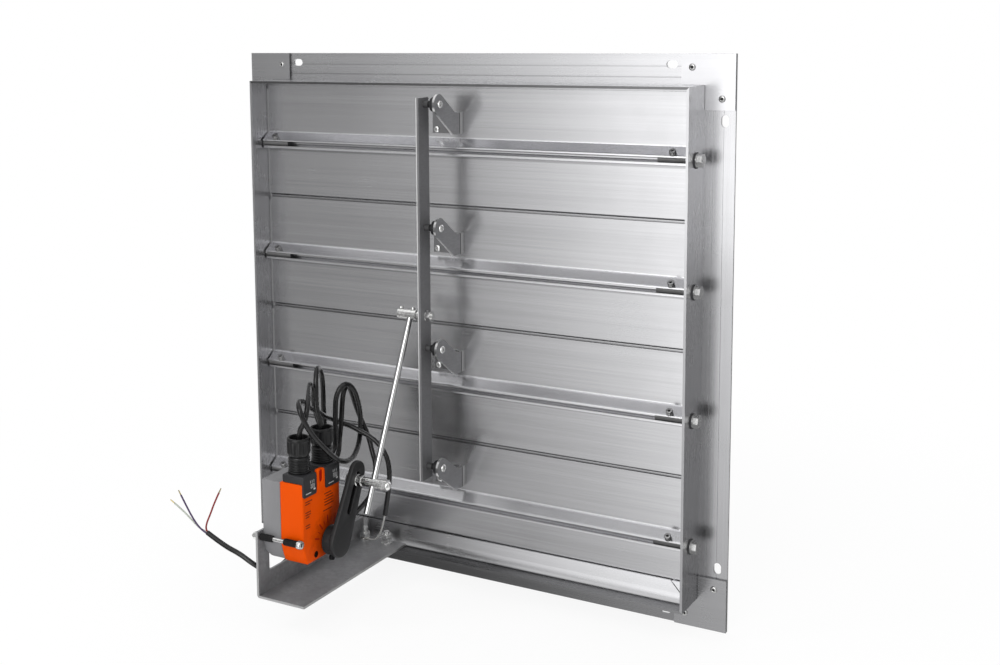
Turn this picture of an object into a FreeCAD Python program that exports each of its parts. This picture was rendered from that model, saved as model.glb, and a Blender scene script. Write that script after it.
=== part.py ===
"""Motor-driven fan shutter: a flanged aluminium frame, four pivoted blades and their drive.

The origin is the centre of the flange's back face, which lies against the wall.
+X is to the right and +Z up for someone in the fan room, and +Y points into the wall.
All sizes are in millimetres. Heights in a blade's own section are measured from its axle.
"""
import FreeCAD, Part
import math
import os

V = FreeCAD.Vector

# Fits and clearances
RUN_GAP = 0.08          # radial gap of a pin that turns in a hole
FACE_GAP = 0.3          # gap between faces that slide past or lie beside each other
SLACK = 0.02            # radial gap of a part pushed on by hand

# Frame
OPENING = 609.6         # clear width and height between the frame's walls
WALL = 3.0              # frame wall
FLANGE_WIDTH = 36.0
FLANGE_T = 3.0
FRAME_DEPTH = 58.0      # from the flange's back face to the walls' front edges
MITRE_GAP = 0.1         # half of the gap in a corner's mitre
GROOVE_INSETS = (9.5, 22.0)
GROOVE_WIDTH = 1.2
GROOVE_DEPTH = 0.7
SLOT_INSET = 12.5       # from the flange's outer edge to the slot's centre line
SLOT_FROM_CORNER = 77.0
SLOT_LENGTH = 14.0
SLOT_WIDTH = 9.0
PLATE_LEG = 64.5
PLATE_T = 3.0
RIVET_FAR = 51.5        # corner rivets, from the frame's corner
RIVET_NEAR = 15.5
RIVET_R = 2.4
RIVET_HEAD_R = 4.0
RIVET_HEAD_T = 1.6
SILL_FRONT = -37.0      # foot of the sill stop, along Y
SILL_TOP_FRONT = -28.5
SILL_HEIGHT = 23.0
SILL_T = 2.0
SILL_SLIT = 1.6
TOP_LIP_HEIGHT = 9.0    # stop lip behind the top blade's edge
TOP_LIP_T = 1.6

# Blades
BLADE_COUNT = 4
PITCH = 152.4           # from axle to axle
ROW_DROP = 5.0          # the row's centre below the frame's centre
AXLE_Y = -32.0
BLADE_END_GAP = 1.8
SKIN_BACK = 8.0         # the skin's front face behind the axle
SKIN_T = 1.6
LIP_STEP = 2.6          # set-back of the lower lip behind the skin
SEAM_OVERLAP = 5.2      # how far the lower lip reaches behind the next blade
SEAM_GAP = 5.0          # height of the recess that shows between two blades
TOP_REACH = 77.4        # from the axle to the blade's top edge
SILL_BLADE_CUT = 4.8    # lowest blade's edge above the frame's bottom wall
RIB_TOP = 14.5
RIB_FRONT = 6.5
RIB_SHOULDER = 4.5
RIB_MOUTH_TOP = 2.7
RIB_MOUTH_LOW = 3.6
RIB_LOW_FRONT = 4.9
RIB_BASE = 7.2

# Axle bolts and their bushes
AXLE_R = 4.76
AXLE_GRIP = 40.0        # thread inside the blade's groove
GROOVE_SLACK = 0.24
BUSH_WALL = 2.2
BUSH_FLANGE_R = 9.4
BUSH_FLANGE_T = 1.2
HEX_AF = 14.3
HEX_T = 6.0
HEAD_WASHER_R = 8.6
HEAD_WASHER_T = 1.5
SET_SCREW_INSET = 21.0
SET_SCREW_R = 2.5
SET_SCREW_HEAD_AF = 8.2
SET_SCREW_HEAD_T = 5.6

# Crank brackets on the blades
EAR_X = -2.0            # right face of the ear
EAR_T = 3.0
FOOT_WIDTH = 40.0
FOOT_LOW = 20.5
FOOT_TOP = 47.4
PIN_FORWARD = 47.0      # tie bar pin in front of the axle
PIN_UP = 60.0           # tie bar pin above the axle
EAR_R = 12.5
EAR_LOW_REACH = 17.0
EAR_TOP_REACH = 13.0
FOOT_RIVETS = ((-36.0, 25.6), (-15.0, 38.0))

# Tie bar
BAR_RIGHT = -23.5       # right face
BAR_T = 4.0
BAR_WIDTH = 24.5
BAR_BEHIND = 11.0       # of the width, behind the pins
BAR_TOP_END = 8.0       # past the first pin
BAR_LOW_END = 17.0      # past the last pin
PIN_R = 3.0
PIN_SHOULDER_R = 4.2
PIN_HEAD_R = 4.6
PIN_HEAD_T = 1.8
SPACER_R = 8.8
SPACER_L = 6.0
STUD_Z = 19.8           # rod stud on the tie bar
STUD_R = 3.95
NUT_AF = 13.0
NUT_T = 6.4
WASHER_T = 1.6
WASHER_R = 7.0

# Drive rod and swivels
ROD_X = -46.0
ROD_R = 4.0
ROD_TOP_STAND = 3.0     # rod end above the upper swivel's axis
ROD_TAIL = 37.5         # rod past the lower swivel
UPPER_BODY_R = 6.6
UPPER_BODY = (-63.0, -38.0)
UPPER_COLLAR_R = 5.2
LOWER_BODY_R = 5.9
LOWER_BODY = (-55.5, -36.5)
CAP_NUT_T = 8.0
CAP_DOME_R = 5.6
SWIVEL_BORE_GAP = 0.05
CLAMP_SCREW_R = 2.4
CLAMP_SCREW_HEAD_R = 3.4

# Crank arm
HUB_Y = -205.0
HUB_Z = -240.0
ARM_RIGHT = -70.0
ARM_T = 6.5
ARM_ANGLE = 63.0        # from +Y towards +Z at rest
ARM_LENGTH = 84.0
ARM_TIP_R = 15.0
ARM_HUB_R = 20.0
ARM_PIN_REACH = 75.4    # from the hub to the swivel pin
ARM_SLOT = (33.0, 86.0)
ARM_SLOT_W = 8.4
ARM_FACE_LEFT = 3.2     # arm left over beyond the blind shaft bore
BOSS_R = 18.0
SHAFT_R = 5.0
CRANK_SPLIT_X = -55.8   # the stud stops here, beside the lower swivel

# Actuator
BASE_LEFT = -149.7
SPLIT_X = -123.5
COVER_RIGHT = -89.5
ACT_FRONT = -257.5
ACT_REAR = -180.0
ACT_TOP = -157.5
ACT_LOW = -258.0
BASE_SHRINK = 1.2       # base stands back from the cover's outline
SHELL = 2.0
COVER_CHAMFER = 3.0
BASE_LOW_CHAMFER = 7.0
HOUSING_NOSE = ((0.0, 24.0), (1.0, 19.0), (4.0, 9.5), (7.0, 2.0), (9.5, 0.0))    # lower front corner: behind the front face, above the lower face
HOUSING_HEEL = 6.0      # cut of the lower rear corner
CAP_TOP = -147.5
CAP_LEFT = -119.5
CAP_TAB_T = 1.5
CAP_TAB_LOW = -174.0
NEAR_CAP_WIDTH = 33.0
FAR_CAP_WIDTH = 31.5
FAR_CAP_INSET = 1.0
CAP_SPANS = ((ACT_FRONT, ACT_FRONT + NEAR_CAP_WIDTH), (ACT_REAR - FAR_CAP_INSET - FAR_CAP_WIDTH, ACT_REAR - FAR_CAP_INSET))
TAB_INSET = 2.0
GLAND_X = -105.5
GLAND_INSETS = (16.5, 13.5)    # from the actuator's front and rear faces
GLAND_YS = (ACT_FRONT + GLAND_INSETS[0], ACT_REAR - GLAND_INSETS[1])
GLAND_BODY_R = 13.4
GLAND_BODY_H = 20.0
GLAND_RING_R = 12.2
GLAND_NUT_R = 14.2
GLAND_NUT_H = 23.0
GLAND_MOUTH_R = 11.0
GLAND_MOUTH_DEPTH = 7.0
COVER_SCREW_R = 2.0
COVER_SCREW_HEAD_R = 3.6

BOARD_INSETS = (5.5, 6.0)      # from the actuator's front and rear faces
BOARD_TOP_INSET = 5.5
BOARD_H = 40.0
BOARD_Y = (ACT_FRONT + BOARD_INSETS[0], ACT_REAR - BOARD_INSETS[1])
BOARD_Z = (ACT_TOP - BOARD_TOP_INSET - BOARD_H, ACT_TOP - BOARD_TOP_INSET)
BOARD_T = 1.6
BOARD_POST = 1.6        # length of the posts that hold the circuit board
BOARD_POST_INSET = 4.0

# Gear train inside the actuator
MODULE = 1.0
OUT_TEETH = 28
IDLER_WHEEL_TEETH = 26
IDLER_PINION_TEETH = 12
MOTOR_TEETH = 10
MESH_GAP = 0.15         # added to each pair's centre distance
GEAR_A = (-112.0, -104.0)
GEAR_B = (-121.0, -114.0)
MOTOR_DIRECTION = 150.0
PLATE_LEFT = (-125.6, -123.6)
PLATE_RIGHT = (-101.6, -99.6)
STUB_R = 2.5
MOTOR_R = 12.0
MOTOR_LEFT = -146.5
MOTOR_SHAFT_R = 1.5
SPRING_IN = 6.6
SPRING_OUT = 14.6
SPRING_STRIP = 0.7
SPRING_SPAN = (-139.0, -129.0)
SWITCH_INSET = 5.5      # from the actuator's front face
SWITCH_DROPS = (26.5, 13.5)
SWITCH_L = 20.0
SWITCH_H = 9.0
RIGHT_PLATE_H = 50.0
PILLAR_R = 3.0
LOW_PILLAR_INSET = 20.0     # lower pillar, from the plates' front edge
PILLAR_TOP = 44.0       # upper pillars, above the plates' lower edge

# Actuator bracket
BRACKET_T = 3.0
BRACKET_LEFT = -152.9
BRACKET_RIGHT = -83.5
RETAIN_EDGE = 5.8       # from the bracket's front edge to the retaining bolt
BRACKET_REAR = -38.5
BEND_R = 4.0
POST_WIDTH = 22.0
POST_TOP = -222.0
LOW_FLANGE_H = 27.8     # low flange above the frame's bottom wall
BOLT_Y = -48.5
BOLT_XS = (-141.0, -107.0)
BOLT_R = 4.0
BOLT_SLACK = 0.4
RETAIN_Z = -229.0
RETAIN_R = 2.5
RETAIN_SLEEVE_R = 4.2
RETAIN_GAP = 0.5        # from the sleeves to the actuator's front face
RETAIN_Y = ACT_FRONT - RETAIN_GAP - RETAIN_SLEEVE_R
RETAIN_SLEEVES = ((-149.6, -131.0), (-114.0, -94.0))
RETAIN_HEAD = (-93.8, -88.8)

# Cables
CABLE_R = 3.2
WIRE_R = 1.1
CABLE_NEAR_ROUTE = [
    (-105.5, -241, -124), (-105.5, -241, -98), (-97, -240, -87), (-97, -233, -68), (-107, -216, -57),
    (-121, -194, -51), (-130, -176, -66), (-135, -168, -83), (-133, -166, -100), (-125, -168, -115),
    (-119, -168, -130), (-119, -168, -145), (-119, -161.5, -151.5), (-119, -152.5, -151.5), (-119, -146, -145),
    (-118, -146, -130), (-118, -146, -113), (-117, -147, -96), (-115, -148, -79), (-111, -142, -66),
    (-107, -131, -65), (-106, -119, -77), (-108, -108, -96), (-110, -101, -114), (-111, -100, -133),
    (-105, -113, -148), (-94, -140, -155), (-86, -168, -153), (-83, -190, -145), (-83, -207, -133),
    (-86, -221, -118), (-90, -234, -103), (-92, -246, -85), (-95, -252, -69), (-104, -242, -61),
    (-112, -221, -67), (-119, -203, -78), (-122, -187, -87), (-122, -172, -95), (-127, -155, -105),
    (-130, -136, -113), (-128, -120, -122), (-118, -113, -126), (-106, -110, -132), (-95, -107, -137),
    (-82, -105, -145), (-69, -105, -159), (-64, -105, -180), (-70, -100, -211), (-79, -95, -243),
]
CABLE_SUPPLY_ROUTE = [
    (-105.5, -193.5, -124), (-105.5, -193.5, -99), (-112, -194, -86), (-113, -193, -64),
    (-115, -190, -45), (-121, -178, -35), (-126, -163, -44), (-132, -151, -66), (-137, -144, -92),
    (-138, -142, -118), (-133, -146, -140), (-130, -146, -158), (-129, -141, -165), (-127, -133, -165),
    (-126, -128, -158), (-124, -129, -141), (-120, -131, -123), (-117, -133, -105), (-115, -134, -88),
    (-115, -131, -77), (-116, -123, -71), (-118, -114, -74), (-120, -105, -86), (-121, -96, -103),
    (-117, -91, -121), (-110, -90, -135), (-103, -91, -150), (-97, -94, -165), (-89, -99, -176),
    (-86, -106, -195), (-90, -109, -214), (-103, -113, -232), (-121, -119, -248), (-139, -127, -259),
    (-153, -138, -267), (-162, -154, -275), (-166, -176, -284), (-167, -200, -291), (-168, -219, -292),
    (-174, -231, -286), (-184, -237, -278.5), (-201, -239, -269), (-226, -239, -263),
    (-252, -239, -251),
]
WIRE_ROUTES = {
    "wire_red": [(-251.7, -239, -249.5), (-254.8, -239, -247.6), (-253, -239, -238.5), (-246, -239, -225), (-240, -239, -211),
                 (-231.5, -239, -195.5)],
    "wire_violet": [(-252.6, -240.3, -251.5), (-258, -240.8, -249), (-266, -240.5, -244), (-275, -240, -235),
                    (-284, -239.5, -223), (-293.7, -239, -209)],
    "wire_white": [(-252.6, -237.7, -251.5), (-259, -237.2, -250.3), (-267, -237, -248), (-279, -237.2, -239.5),
                   (-291, -238, -230), (-305, -239, -221.5)],
}
WIRE_TIP_L = 7.0
EARTH_ROUTE = [(-79.4, -94.8, -244.4), (-85, -92, -262), (-95, -86, -279), (-110, -76, -290), (-126, -64.5, -294)]
EARTH_LUG = (-141.0, -48.5)

# Derived places
OUTER = OPENING / 2 + WALL
EDGE = OUTER + FLANGE_WIDTH
BLADE_END = OPENING / 2 - BLADE_END_GAP
AXLE_ZS = [-ROW_DROP + PITCH * (BLADE_COUNT - 1) / 2 - PITCH * i for i in range(BLADE_COUNT)]
PIN_Y = AXLE_Y - PIN_FORWARD
PIN_ZS = [z + PIN_UP for z in AXLE_ZS]
BAR_LEFT = BAR_RIGHT - BAR_T
EAR_LEFT = EAR_X - EAR_T
GROOVE_R = AXLE_R + GROOVE_SLACK
ARM_UNIT = (math.cos(math.radians(ARM_ANGLE)), math.sin(math.radians(ARM_ANGLE)))
SWIVEL_Y = HUB_Y + ARM_PIN_REACH * ARM_UNIT[0]
SWIVEL_Z = HUB_Z + ARM_PIN_REACH * ARM_UNIT[1]
ARM_LEFT = ARM_RIGHT - ARM_T
PLATE_Z = -OPENING / 2
BRACKET_FLOOR = PLATE_Z + BRACKET_T


def box(x0, x1, y0, y1, z0, z1):
    return Part.makeBox(x1 - x0, y1 - y0, z1 - z0, V(x0, y0, z0))


def rod_x(x0, x1, y, z, r):
    return Part.makeCylinder(r, x1 - x0, V(x0, y, z), V(1, 0, 0))


def rod_y(x, y0, y1, z, r):
    return Part.makeCylinder(r, y1 - y0, V(x, y0, z), V(0, 1, 0))


def rod_z(x, y, z0, z1, r):
    return Part.makeCylinder(r, z1 - z0, V(x, y, z0), V(0, 0, 1))


def ring_x(x0, x1, y, z, r_out, r_in):
    return rod_x(x0, x1, y, z, r_out).cut(rod_x(x0 - 1, x1 + 1, y, z, r_in))


def ring_z(x, y, z0, z1, r_out, r_in):
    return rod_z(x, y, z0, z1, r_out).cut(rod_z(x, y, z0 - 1, z1 + 1, r_in))


def face_of(edges):
    return Part.Face(Part.Wire(edges))


def prism(points, direction):
    wire = Part.makePolygon([V(*p) for p in points] + [V(*points[0])])
    return Part.Face(wire).extrude(V(*direction))


def slab_x(outline, x0, x1):
    """Solid whose YZ outline is swept from x0 to x1."""
    return prism([(x0, y, z) for y, z in outline], (x1 - x0, 0, 0))


def hexagon_x(x0, x1, y, z, across_flats, turn=0.0):
    r = across_flats / math.sqrt(3)
    corners = [math.radians(60 * k + turn) for k in range(6)]
    block = slab_x([(y + r * math.cos(a), z + r * math.sin(a)) for a in corners], x0, x1)
    return block.common(rod_x(x0, x1, y, z, r * 0.965))


def hexagon_z(x, y, z0, z1, across_flats):
    r = across_flats / math.sqrt(3)
    corners = [math.radians(60 * k) for k in range(6)]
    return prism([(x + r * math.cos(a), y + r * math.sin(a), z0) for a in corners], (0, 0, z1 - z0))


def nut_x(x0, x1, y, z, across_flats, bore):
    return hexagon_x(x0, x1, y, z, across_flats).cut(rod_x(x0 - 1, x1 + 1, y, z, bore))


def group(solids):
    flat = []
    for item in solids:
        flat.extend(item.Solids)
    return Part.makeCompound(flat)


def fuse(shapes):
    body = shapes[0]
    for shape in shapes[1:]:
        body = body.fuse(shape)
    return body.removeSplitter()


def cut(body, tools):
    for tool in tools:
        body = body.cut(tool)
    return body


def tangent(point, centre, r, side):
    """Point where a line from point touches a circle, on the given side (+1 or -1)."""
    dx, dy = point[0] - centre[0], point[1] - centre[1]
    reach = math.hypot(dx, dy)
    base = math.atan2(dy, dx)
    swing = side * math.acos(r / reach)
    return (centre[0] + r * math.cos(base + swing), centre[1] + r * math.sin(base + swing))


def tapered_link(x0, x1, start, r0, end, r1):
    """Plate whose outline wraps two circles of different radius."""
    reach = math.hypot(end[0] - start[0], end[1] - start[1])
    base = math.atan2(end[1] - start[1], end[0] - start[0])
    lean = math.acos((r0 - r1) / reach)
    quads = []
    for side in (1, -1):
        a = base + side * lean
        quads.append((start[0] + r0 * math.cos(a), start[1] + r0 * math.sin(a)))
        quads.append((end[0] + r1 * math.cos(a), end[1] + r1 * math.sin(a)))
    a_start, a_end, b_start, b_end = quads
    tip = (end[0] + r1 * math.cos(base), end[1] + r1 * math.sin(base))
    heel = (start[0] - r0 * math.cos(base), start[1] - r0 * math.sin(base))

    def at(p):
        return V(x0, p[0], p[1])

    edges = [
        Part.LineSegment(at(a_start), at(a_end)).toShape(),
        Part.Arc(at(a_end), at(tip), at(b_end)).toShape(),
        Part.LineSegment(at(b_end), at(b_start)).toShape(),
        Part.Arc(at(b_start), at(heel), at(a_start)).toShape(),
    ]
    return face_of(edges).extrude(V(x1 - x0, 0, 0))


def slot_prism(cx, cz, along_x, y0, y1):
    """Obround cutter through the flange."""
    half = (SLOT_LENGTH - SLOT_WIDTH) / 2
    ends = [rod_y(cx + s * half * along_x, y0, y1, cz + s * half * (1 - along_x), SLOT_WIDTH / 2) for s in (-1, 1)]
    wide = half if along_x else SLOT_WIDTH / 2
    tall = SLOT_WIDTH / 2 if along_x else half
    return fuse(ends + [box(cx - wide, cx + wide, y0, y1, cz - tall, cz + tall)])


# Frame

def frame_member(quarter_turns):
    """Wall and flange of one side, drawn as the top member and turned about Y."""
    flange = box(-EDGE, EDGE, -FLANGE_T, 0, OUTER - WALL, EDGE)
    wall = box(-EDGE, EDGE, -FRAME_DEPTH, 0, OUTER - WALL, OUTER)
    member = flange.fuse(wall).removeSplitter()
    for inset in GROOVE_INSETS:
        z = OUTER + inset
        member = member.cut(box(-EDGE, EDGE, -FLANGE_T - 1, -FLANGE_T + GROOVE_DEPTH, z, z + GROOVE_WIDTH))
    reach = EDGE + 10
    wedge = prism([(0, -FRAME_DEPTH - 1, MITRE_GAP), (reach, -FRAME_DEPTH - 1, reach + MITRE_GAP),
                   (-reach, -FRAME_DEPTH - 1, reach + MITRE_GAP)], (0, FRAME_DEPTH + 2, 0))
    member = member.common(wedge)
    for side in (-1, 1):
        slot = slot_prism(side * (EDGE - SLOT_FROM_CORNER), EDGE - SLOT_INSET, 1, -FLANGE_T - 1, 1)
        member = member.cut(slot)
        hole = rod_y(side * (EDGE - RIVET_FAR), -FLANGE_T - 1, 1, EDGE - RIVET_NEAR, RIVET_R + SLACK)
        member = member.cut(hole)
    member.rotate(V(0, 0, 0), V(0, 1, 0), 90 * quarter_turns)
    return member


def axle_holes(side):
    x = side * OUTER
    return [rod_x(x - WALL - 2, x + WALL + 2, AXLE_Y, z, AXLE_R + BUSH_WALL + SLACK) for z in AXLE_ZS]


def top_lip():
    """Strip on the top member that the top blade's edge closes against."""
    front = AXLE_Y + SKIN_BACK + SKIN_T + FACE_GAP
    x = OPENING / 2 - FACE_GAP
    return box(-x, x, front, front + TOP_LIP_T, OPENING / 2 - TOP_LIP_HEIGHT, OPENING / 2 + 1)


def sill_stop():
    """Upstand of the bottom member, in front of the lowest blade's bottom edge."""
    low = -OPENING / 2
    top = low + SILL_HEIGHT
    front_mid = (SILL_FRONT + 4.2, low + 5.0)
    front_knee = (SILL_FRONT + 6.2, low + 11.0)
    back_foot = (SILL_TOP_FRONT + 0.4, low)
    x0 = -OPENING / 2 + FACE_GAP

    def at(p):
        return V(x0, p[0], p[1])

    lip = SILL_TOP_FRONT + 2.4
    corners = [front_knee, (SILL_TOP_FRONT, top), (lip, top), (lip, top - SILL_T * 0.8),
               (SILL_TOP_FRONT + SILL_T * 0.9, top - SILL_T * 0.8), (front_knee[0] + SILL_T, front_knee[1]), back_foot,
               (SILL_FRONT, low)]
    edges = [Part.LineSegment(at(a), at(b)).toShape() for a, b in zip(corners, corners[1:])]
    edges.append(Part.Arc(at((SILL_FRONT, low)), at(front_mid), at(front_knee)).toShape())
    stop = face_of(edges).extrude(V(OPENING - 2 * FACE_GAP, 0, 0))
    for side in (-1, 1):
        inner = side * (OPENING / 2 - SILL_HEIGHT)
        outer = side * (OPENING / 2 - 8)
        slit = prism([(inner, SILL_FRONT - 5, top + 0.5), (inner + side * SILL_SLIT, SILL_FRONT - 5, top + 0.5),
                      (outer + side * SILL_SLIT, SILL_FRONT - 5, top - 14), (outer, SILL_FRONT - 5, top - 14)],
                     (0, 20, 0))
        stop = stop.cut(slit)
    return stop


def corner_plate(sx, sz):
    arm_x = box(EDGE - PLATE_LEG, EDGE, -FLANGE_T - PLATE_T, -FLANGE_T, OUTER + FACE_GAP, EDGE)
    arm_z = box(OUTER + FACE_GAP, EDGE, -FLANGE_T - PLATE_T, -FLANGE_T, EDGE - PLATE_LEG, EDGE)
    plate = fuse([arm_x, arm_z])
    for along, up in ((RIVET_FAR, RIVET_NEAR), (RIVET_NEAR, RIVET_FAR)):
        plate = plate.cut(rod_y(EDGE - along, -20, 5, EDGE - up, RIVET_R + SLACK))
    if sx < 0:
        plate = plate.mirror(V(0, 0, 0), V(1, 0, 0))
    if sz < 0:
        plate = plate.mirror(V(0, 0, 0), V(0, 0, 1))
    return plate


def corner_rivets():
    rivets = []
    front = -FLANGE_T - PLATE_T
    for sx in (-1, 1):
        for sz in (-1, 1):
            for along, up in ((RIVET_FAR, RIVET_NEAR), (RIVET_NEAR, RIVET_FAR)):
                x, z = sx * (EDGE - along), sz * (EDGE - up)
                shank = rod_y(x, front, 0, z, RIVET_R)
                head = rod_y(x, front - RIVET_HEAD_T, front, z, RIVET_HEAD_R)
                dimple = rod_y(x, front - RIVET_HEAD_T - 1, front - RIVET_HEAD_T + 0.8, z, RIVET_R * 0.6)
                rivets.append(fuse([shank, head]).cut(dimple))
    return group(rivets)


def axle_bushes():
    bushes = []
    for side in (-1, 1):
        for z in AXLE_ZS:
            inner, outer = side * (OUTER - WALL), side * OUTER
            tip = side * (OUTER + BUSH_FLANGE_T)
            sleeve = rod_x(min(inner, tip), max(inner, tip), AXLE_Y, z, AXLE_R + BUSH_WALL)
            flange = rod_x(min(outer, tip), max(outer, tip), AXLE_Y, z, BUSH_FLANGE_R)
            bore = rod_x(min(inner, tip) - 1, max(inner, tip) + 1, AXLE_Y, z, AXLE_R + RUN_GAP)
            bushes.append(fuse([sleeve, flange]).cut(bore))
    return group(bushes)


# Blades

def blade_section(lowest):
    """Blade outline in (Y from the axle, Z from the axle), as edges in the plane X = -BLADE_END."""
    front, back = SKIN_BACK, SKIN_BACK + SKIN_T
    lip_front, lip_back = front + LIP_STEP, back + LIP_STEP
    next_top = TOP_REACH - PITCH
    skin_low = next_top + SEAM_GAP
    lip_low = next_top - SEAM_OVERLAP
    mouth_top_in = -math.sqrt(GROOVE_R ** 2 - RIB_MOUTH_TOP ** 2)
    mouth_low_in = -math.sqrt(GROOVE_R ** 2 - RIB_MOUTH_LOW ** 2)
    rib = [(front, RIB_TOP), (-RIB_FRONT, RIB_SHOULDER), (-RIB_FRONT, RIB_MOUTH_TOP), (mouth_top_in, RIB_MOUTH_TOP)]
    rib_low = [(mouth_low_in, -RIB_MOUTH_LOW), (-RIB_LOW_FRONT, -RIB_MOUTH_LOW), (-RIB_LOW_FRONT, 1 - RIB_BASE),
               (-RIB_LOW_FRONT + 2, -RIB_BASE), (front, -RIB_BASE)]
    if lowest:
        edge = -OPENING / 2 + SILL_BLADE_CUT - AXLE_ZS[-1]
        foot = [(front, edge), (back, edge)]
    else:
        foot = [(front, skin_low), (lip_front, skin_low - LIP_STEP * 0.8), (lip_front, lip_low), (lip_back, lip_low),
                (lip_back, skin_low - SKIN_T), (back, skin_low + LIP_STEP * 0.4)]
    top = [(back, TOP_REACH), (front, TOP_REACH)]

    def at(p):
        return V(-BLADE_END, p[0], p[1])

    run_a = rib
    run_b = rib_low + foot + top + [rib[0]]
    edges = [Part.LineSegment(at(a), at(b)).toShape() for a, b in zip(run_a, run_a[1:])]
    edges.append(Part.Arc(at(rib[-1]), at((GROOVE_R, 0)), at(rib_low[0])).toShape())
    edges += [Part.LineSegment(at(a), at(b)).toShape() for a, b in zip(run_b, run_b[1:])]
    return edges


def screw_line():
    """Outward normal of the rib's sloping top, its distance from the axle, in (Y, Z)."""
    dy, dz = -RIB_FRONT - SKIN_BACK, RIB_SHOULDER - RIB_TOP
    length = math.hypot(dy, dz)
    ny, nz = dz / length, -dy / length
    return ny, nz, ny * SKIN_BACK + nz * RIB_TOP


def along_normal(x, z_axle, near, far, r):
    ny, nz, _ = screw_line()
    return Part.makeCylinder(r, far - near, V(x, AXLE_Y + ny * near, z_axle + nz * near), V(0, ny, nz))


def blade(index):
    z = AXLE_ZS[index]
    solid = face_of(blade_section(index == BLADE_COUNT - 1)).extrude(V(2 * BLADE_END, 0, 0))
    solid.translate(V(0, AXLE_Y, z))
    surface = screw_line()[2]
    for side in (-1, 1):
        solid = solid.cut(along_normal(side * (BLADE_END - SET_SCREW_INSET), z, 3, surface + 3, SET_SCREW_R + SLACK))
    front, back = AXLE_Y + SKIN_BACK, AXLE_Y + SKIN_BACK + SKIN_T
    for x, up in FOOT_RIVETS:
        solid = solid.cut(rod_y(x, front - 1, back + 1, z + up, RIVET_R + SLACK))
    return solid


def blade_fasteners(index):
    """Axle bolts, their set screws and the rivets of the crank bracket's foot."""
    z = AXLE_ZS[index]
    surface = screw_line()[2]
    parts = []
    for side in (-1, 1):
        start = side * (OUTER + BUSH_FLANGE_T + FACE_GAP)
        washer_end = start + side * HEAD_WASHER_T
        head_end = washer_end + side * HEX_T
        shank_end = side * (BLADE_END - AXLE_GRIP)
        shank = rod_x(min(shank_end, start), max(shank_end, start), AXLE_Y, z, AXLE_R)
        washer = rod_x(min(start, washer_end), max(start, washer_end), AXLE_Y, z, HEAD_WASHER_R)
        head = hexagon_x(min(washer_end, head_end), max(washer_end, head_end), AXLE_Y, z, HEX_AF, 12)
        parts.append(fuse([shank, washer, head]))
        x = side * (BLADE_END - SET_SCREW_INSET)
        screw = along_normal(x, z, AXLE_R + 0.05, surface + 1, SET_SCREW_R)
        head = along_normal(x, z, surface + 0.4, surface + 0.4 + SET_SCREW_HEAD_T, SET_SCREW_HEAD_AF / 2)
        socket = along_normal(x, z, surface + SET_SCREW_HEAD_T - 1.6, surface + SET_SCREW_HEAD_T + 2, 1.4)
        parts.append(fuse([screw, head]).cut(socket))
    front = AXLE_Y + SKIN_BACK
    foot_front = front - EAR_T
    for x, up in FOOT_RIVETS:
        shank = rod_y(x, foot_front, front + SKIN_T, z + up, RIVET_R)
        head = rod_y(x, foot_front - RIVET_HEAD_T, foot_front, z + up, RIVET_HEAD_R)
        tail = rod_y(x, front + SKIN_T, front + SKIN_T + 1.0, z + up, RIVET_HEAD_R * 0.8)
        dimple = rod_y(x, foot_front - RIVET_HEAD_T - 1, foot_front - RIVET_HEAD_T + 0.8, z + up, RIVET_R * 0.6)
        parts.append(fuse([shank, head, tail]).cut(dimple))
    return group(parts)


def crank_bracket(index):
    z = AXLE_ZS[index]
    front = SKIN_BACK
    foot = box(EAR_X - FOOT_WIDTH, EAR_X, AXLE_Y + front - EAR_T, AXLE_Y + front, z + FOOT_LOW, z + FOOT_TOP)
    pin = (-PIN_FORWARD, PIN_UP)
    low = (-EAR_LOW_REACH + 4, FOOT_LOW)
    low_round = (-EAR_LOW_REACH, FOOT_LOW + 3)
    neck = (-EAR_TOP_REACH + 6, FOOT_TOP + 0.3)
    under = tangent(low_round, pin, EAR_R, -1)
    over = tangent(neck, pin, EAR_R, 1)
    crown_angle = math.radians(140)
    crown = (pin[0] + EAR_R * math.cos(crown_angle), pin[1] + EAR_R * math.sin(crown_angle))

    def at(p):
        return V(EAR_LEFT, AXLE_Y + p[0], z + p[1])

    edges = [
        Part.LineSegment(at((front, FOOT_LOW)), at(low)).toShape(),
        Part.LineSegment(at(low), at(low_round)).toShape(),
        Part.LineSegment(at(low_round), at(under)).toShape(),
        Part.Arc(at(under), at(crown), at(over)).toShape(),
        Part.LineSegment(at(over), at(neck)).toShape(),
        Part.LineSegment(at(neck), at((front, FOOT_TOP))).toShape(),
        Part.LineSegment(at((front, FOOT_TOP)), at((front, FOOT_LOW))).toShape(),
    ]
    ear = face_of(edges).extrude(V(EAR_T, 0, 0))
    bracket = fuse([foot, ear])
    bracket = bracket.cut(rod_x(EAR_LEFT - 1, EAR_X + 1, PIN_Y, z + PIN_UP, PIN_R + RUN_GAP))
    for x, up in FOOT_RIVETS:
        bracket = bracket.cut(rod_y(x, AXLE_Y - 5, AXLE_Y + front + 5, z + up, RIVET_R + SLACK))
    return bracket


# Tie bar and its pins

def tie_bar():
    rear = PIN_Y + BAR_BEHIND
    bar = box(BAR_LEFT, BAR_RIGHT, rear - BAR_WIDTH, rear, PIN_ZS[-1] - BAR_LOW_END, PIN_ZS[0] + BAR_TOP_END)
    holes = [rod_x(BAR_LEFT - 1, BAR_RIGHT + 1, PIN_Y, z, PIN_R + SLACK) for z in PIN_ZS]
    holes.append(rod_x(BAR_LEFT - 1, BAR_RIGHT + 1, PIN_Y, STUD_Z, STUD_R + SLACK))
    return cut(bar, holes)


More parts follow.
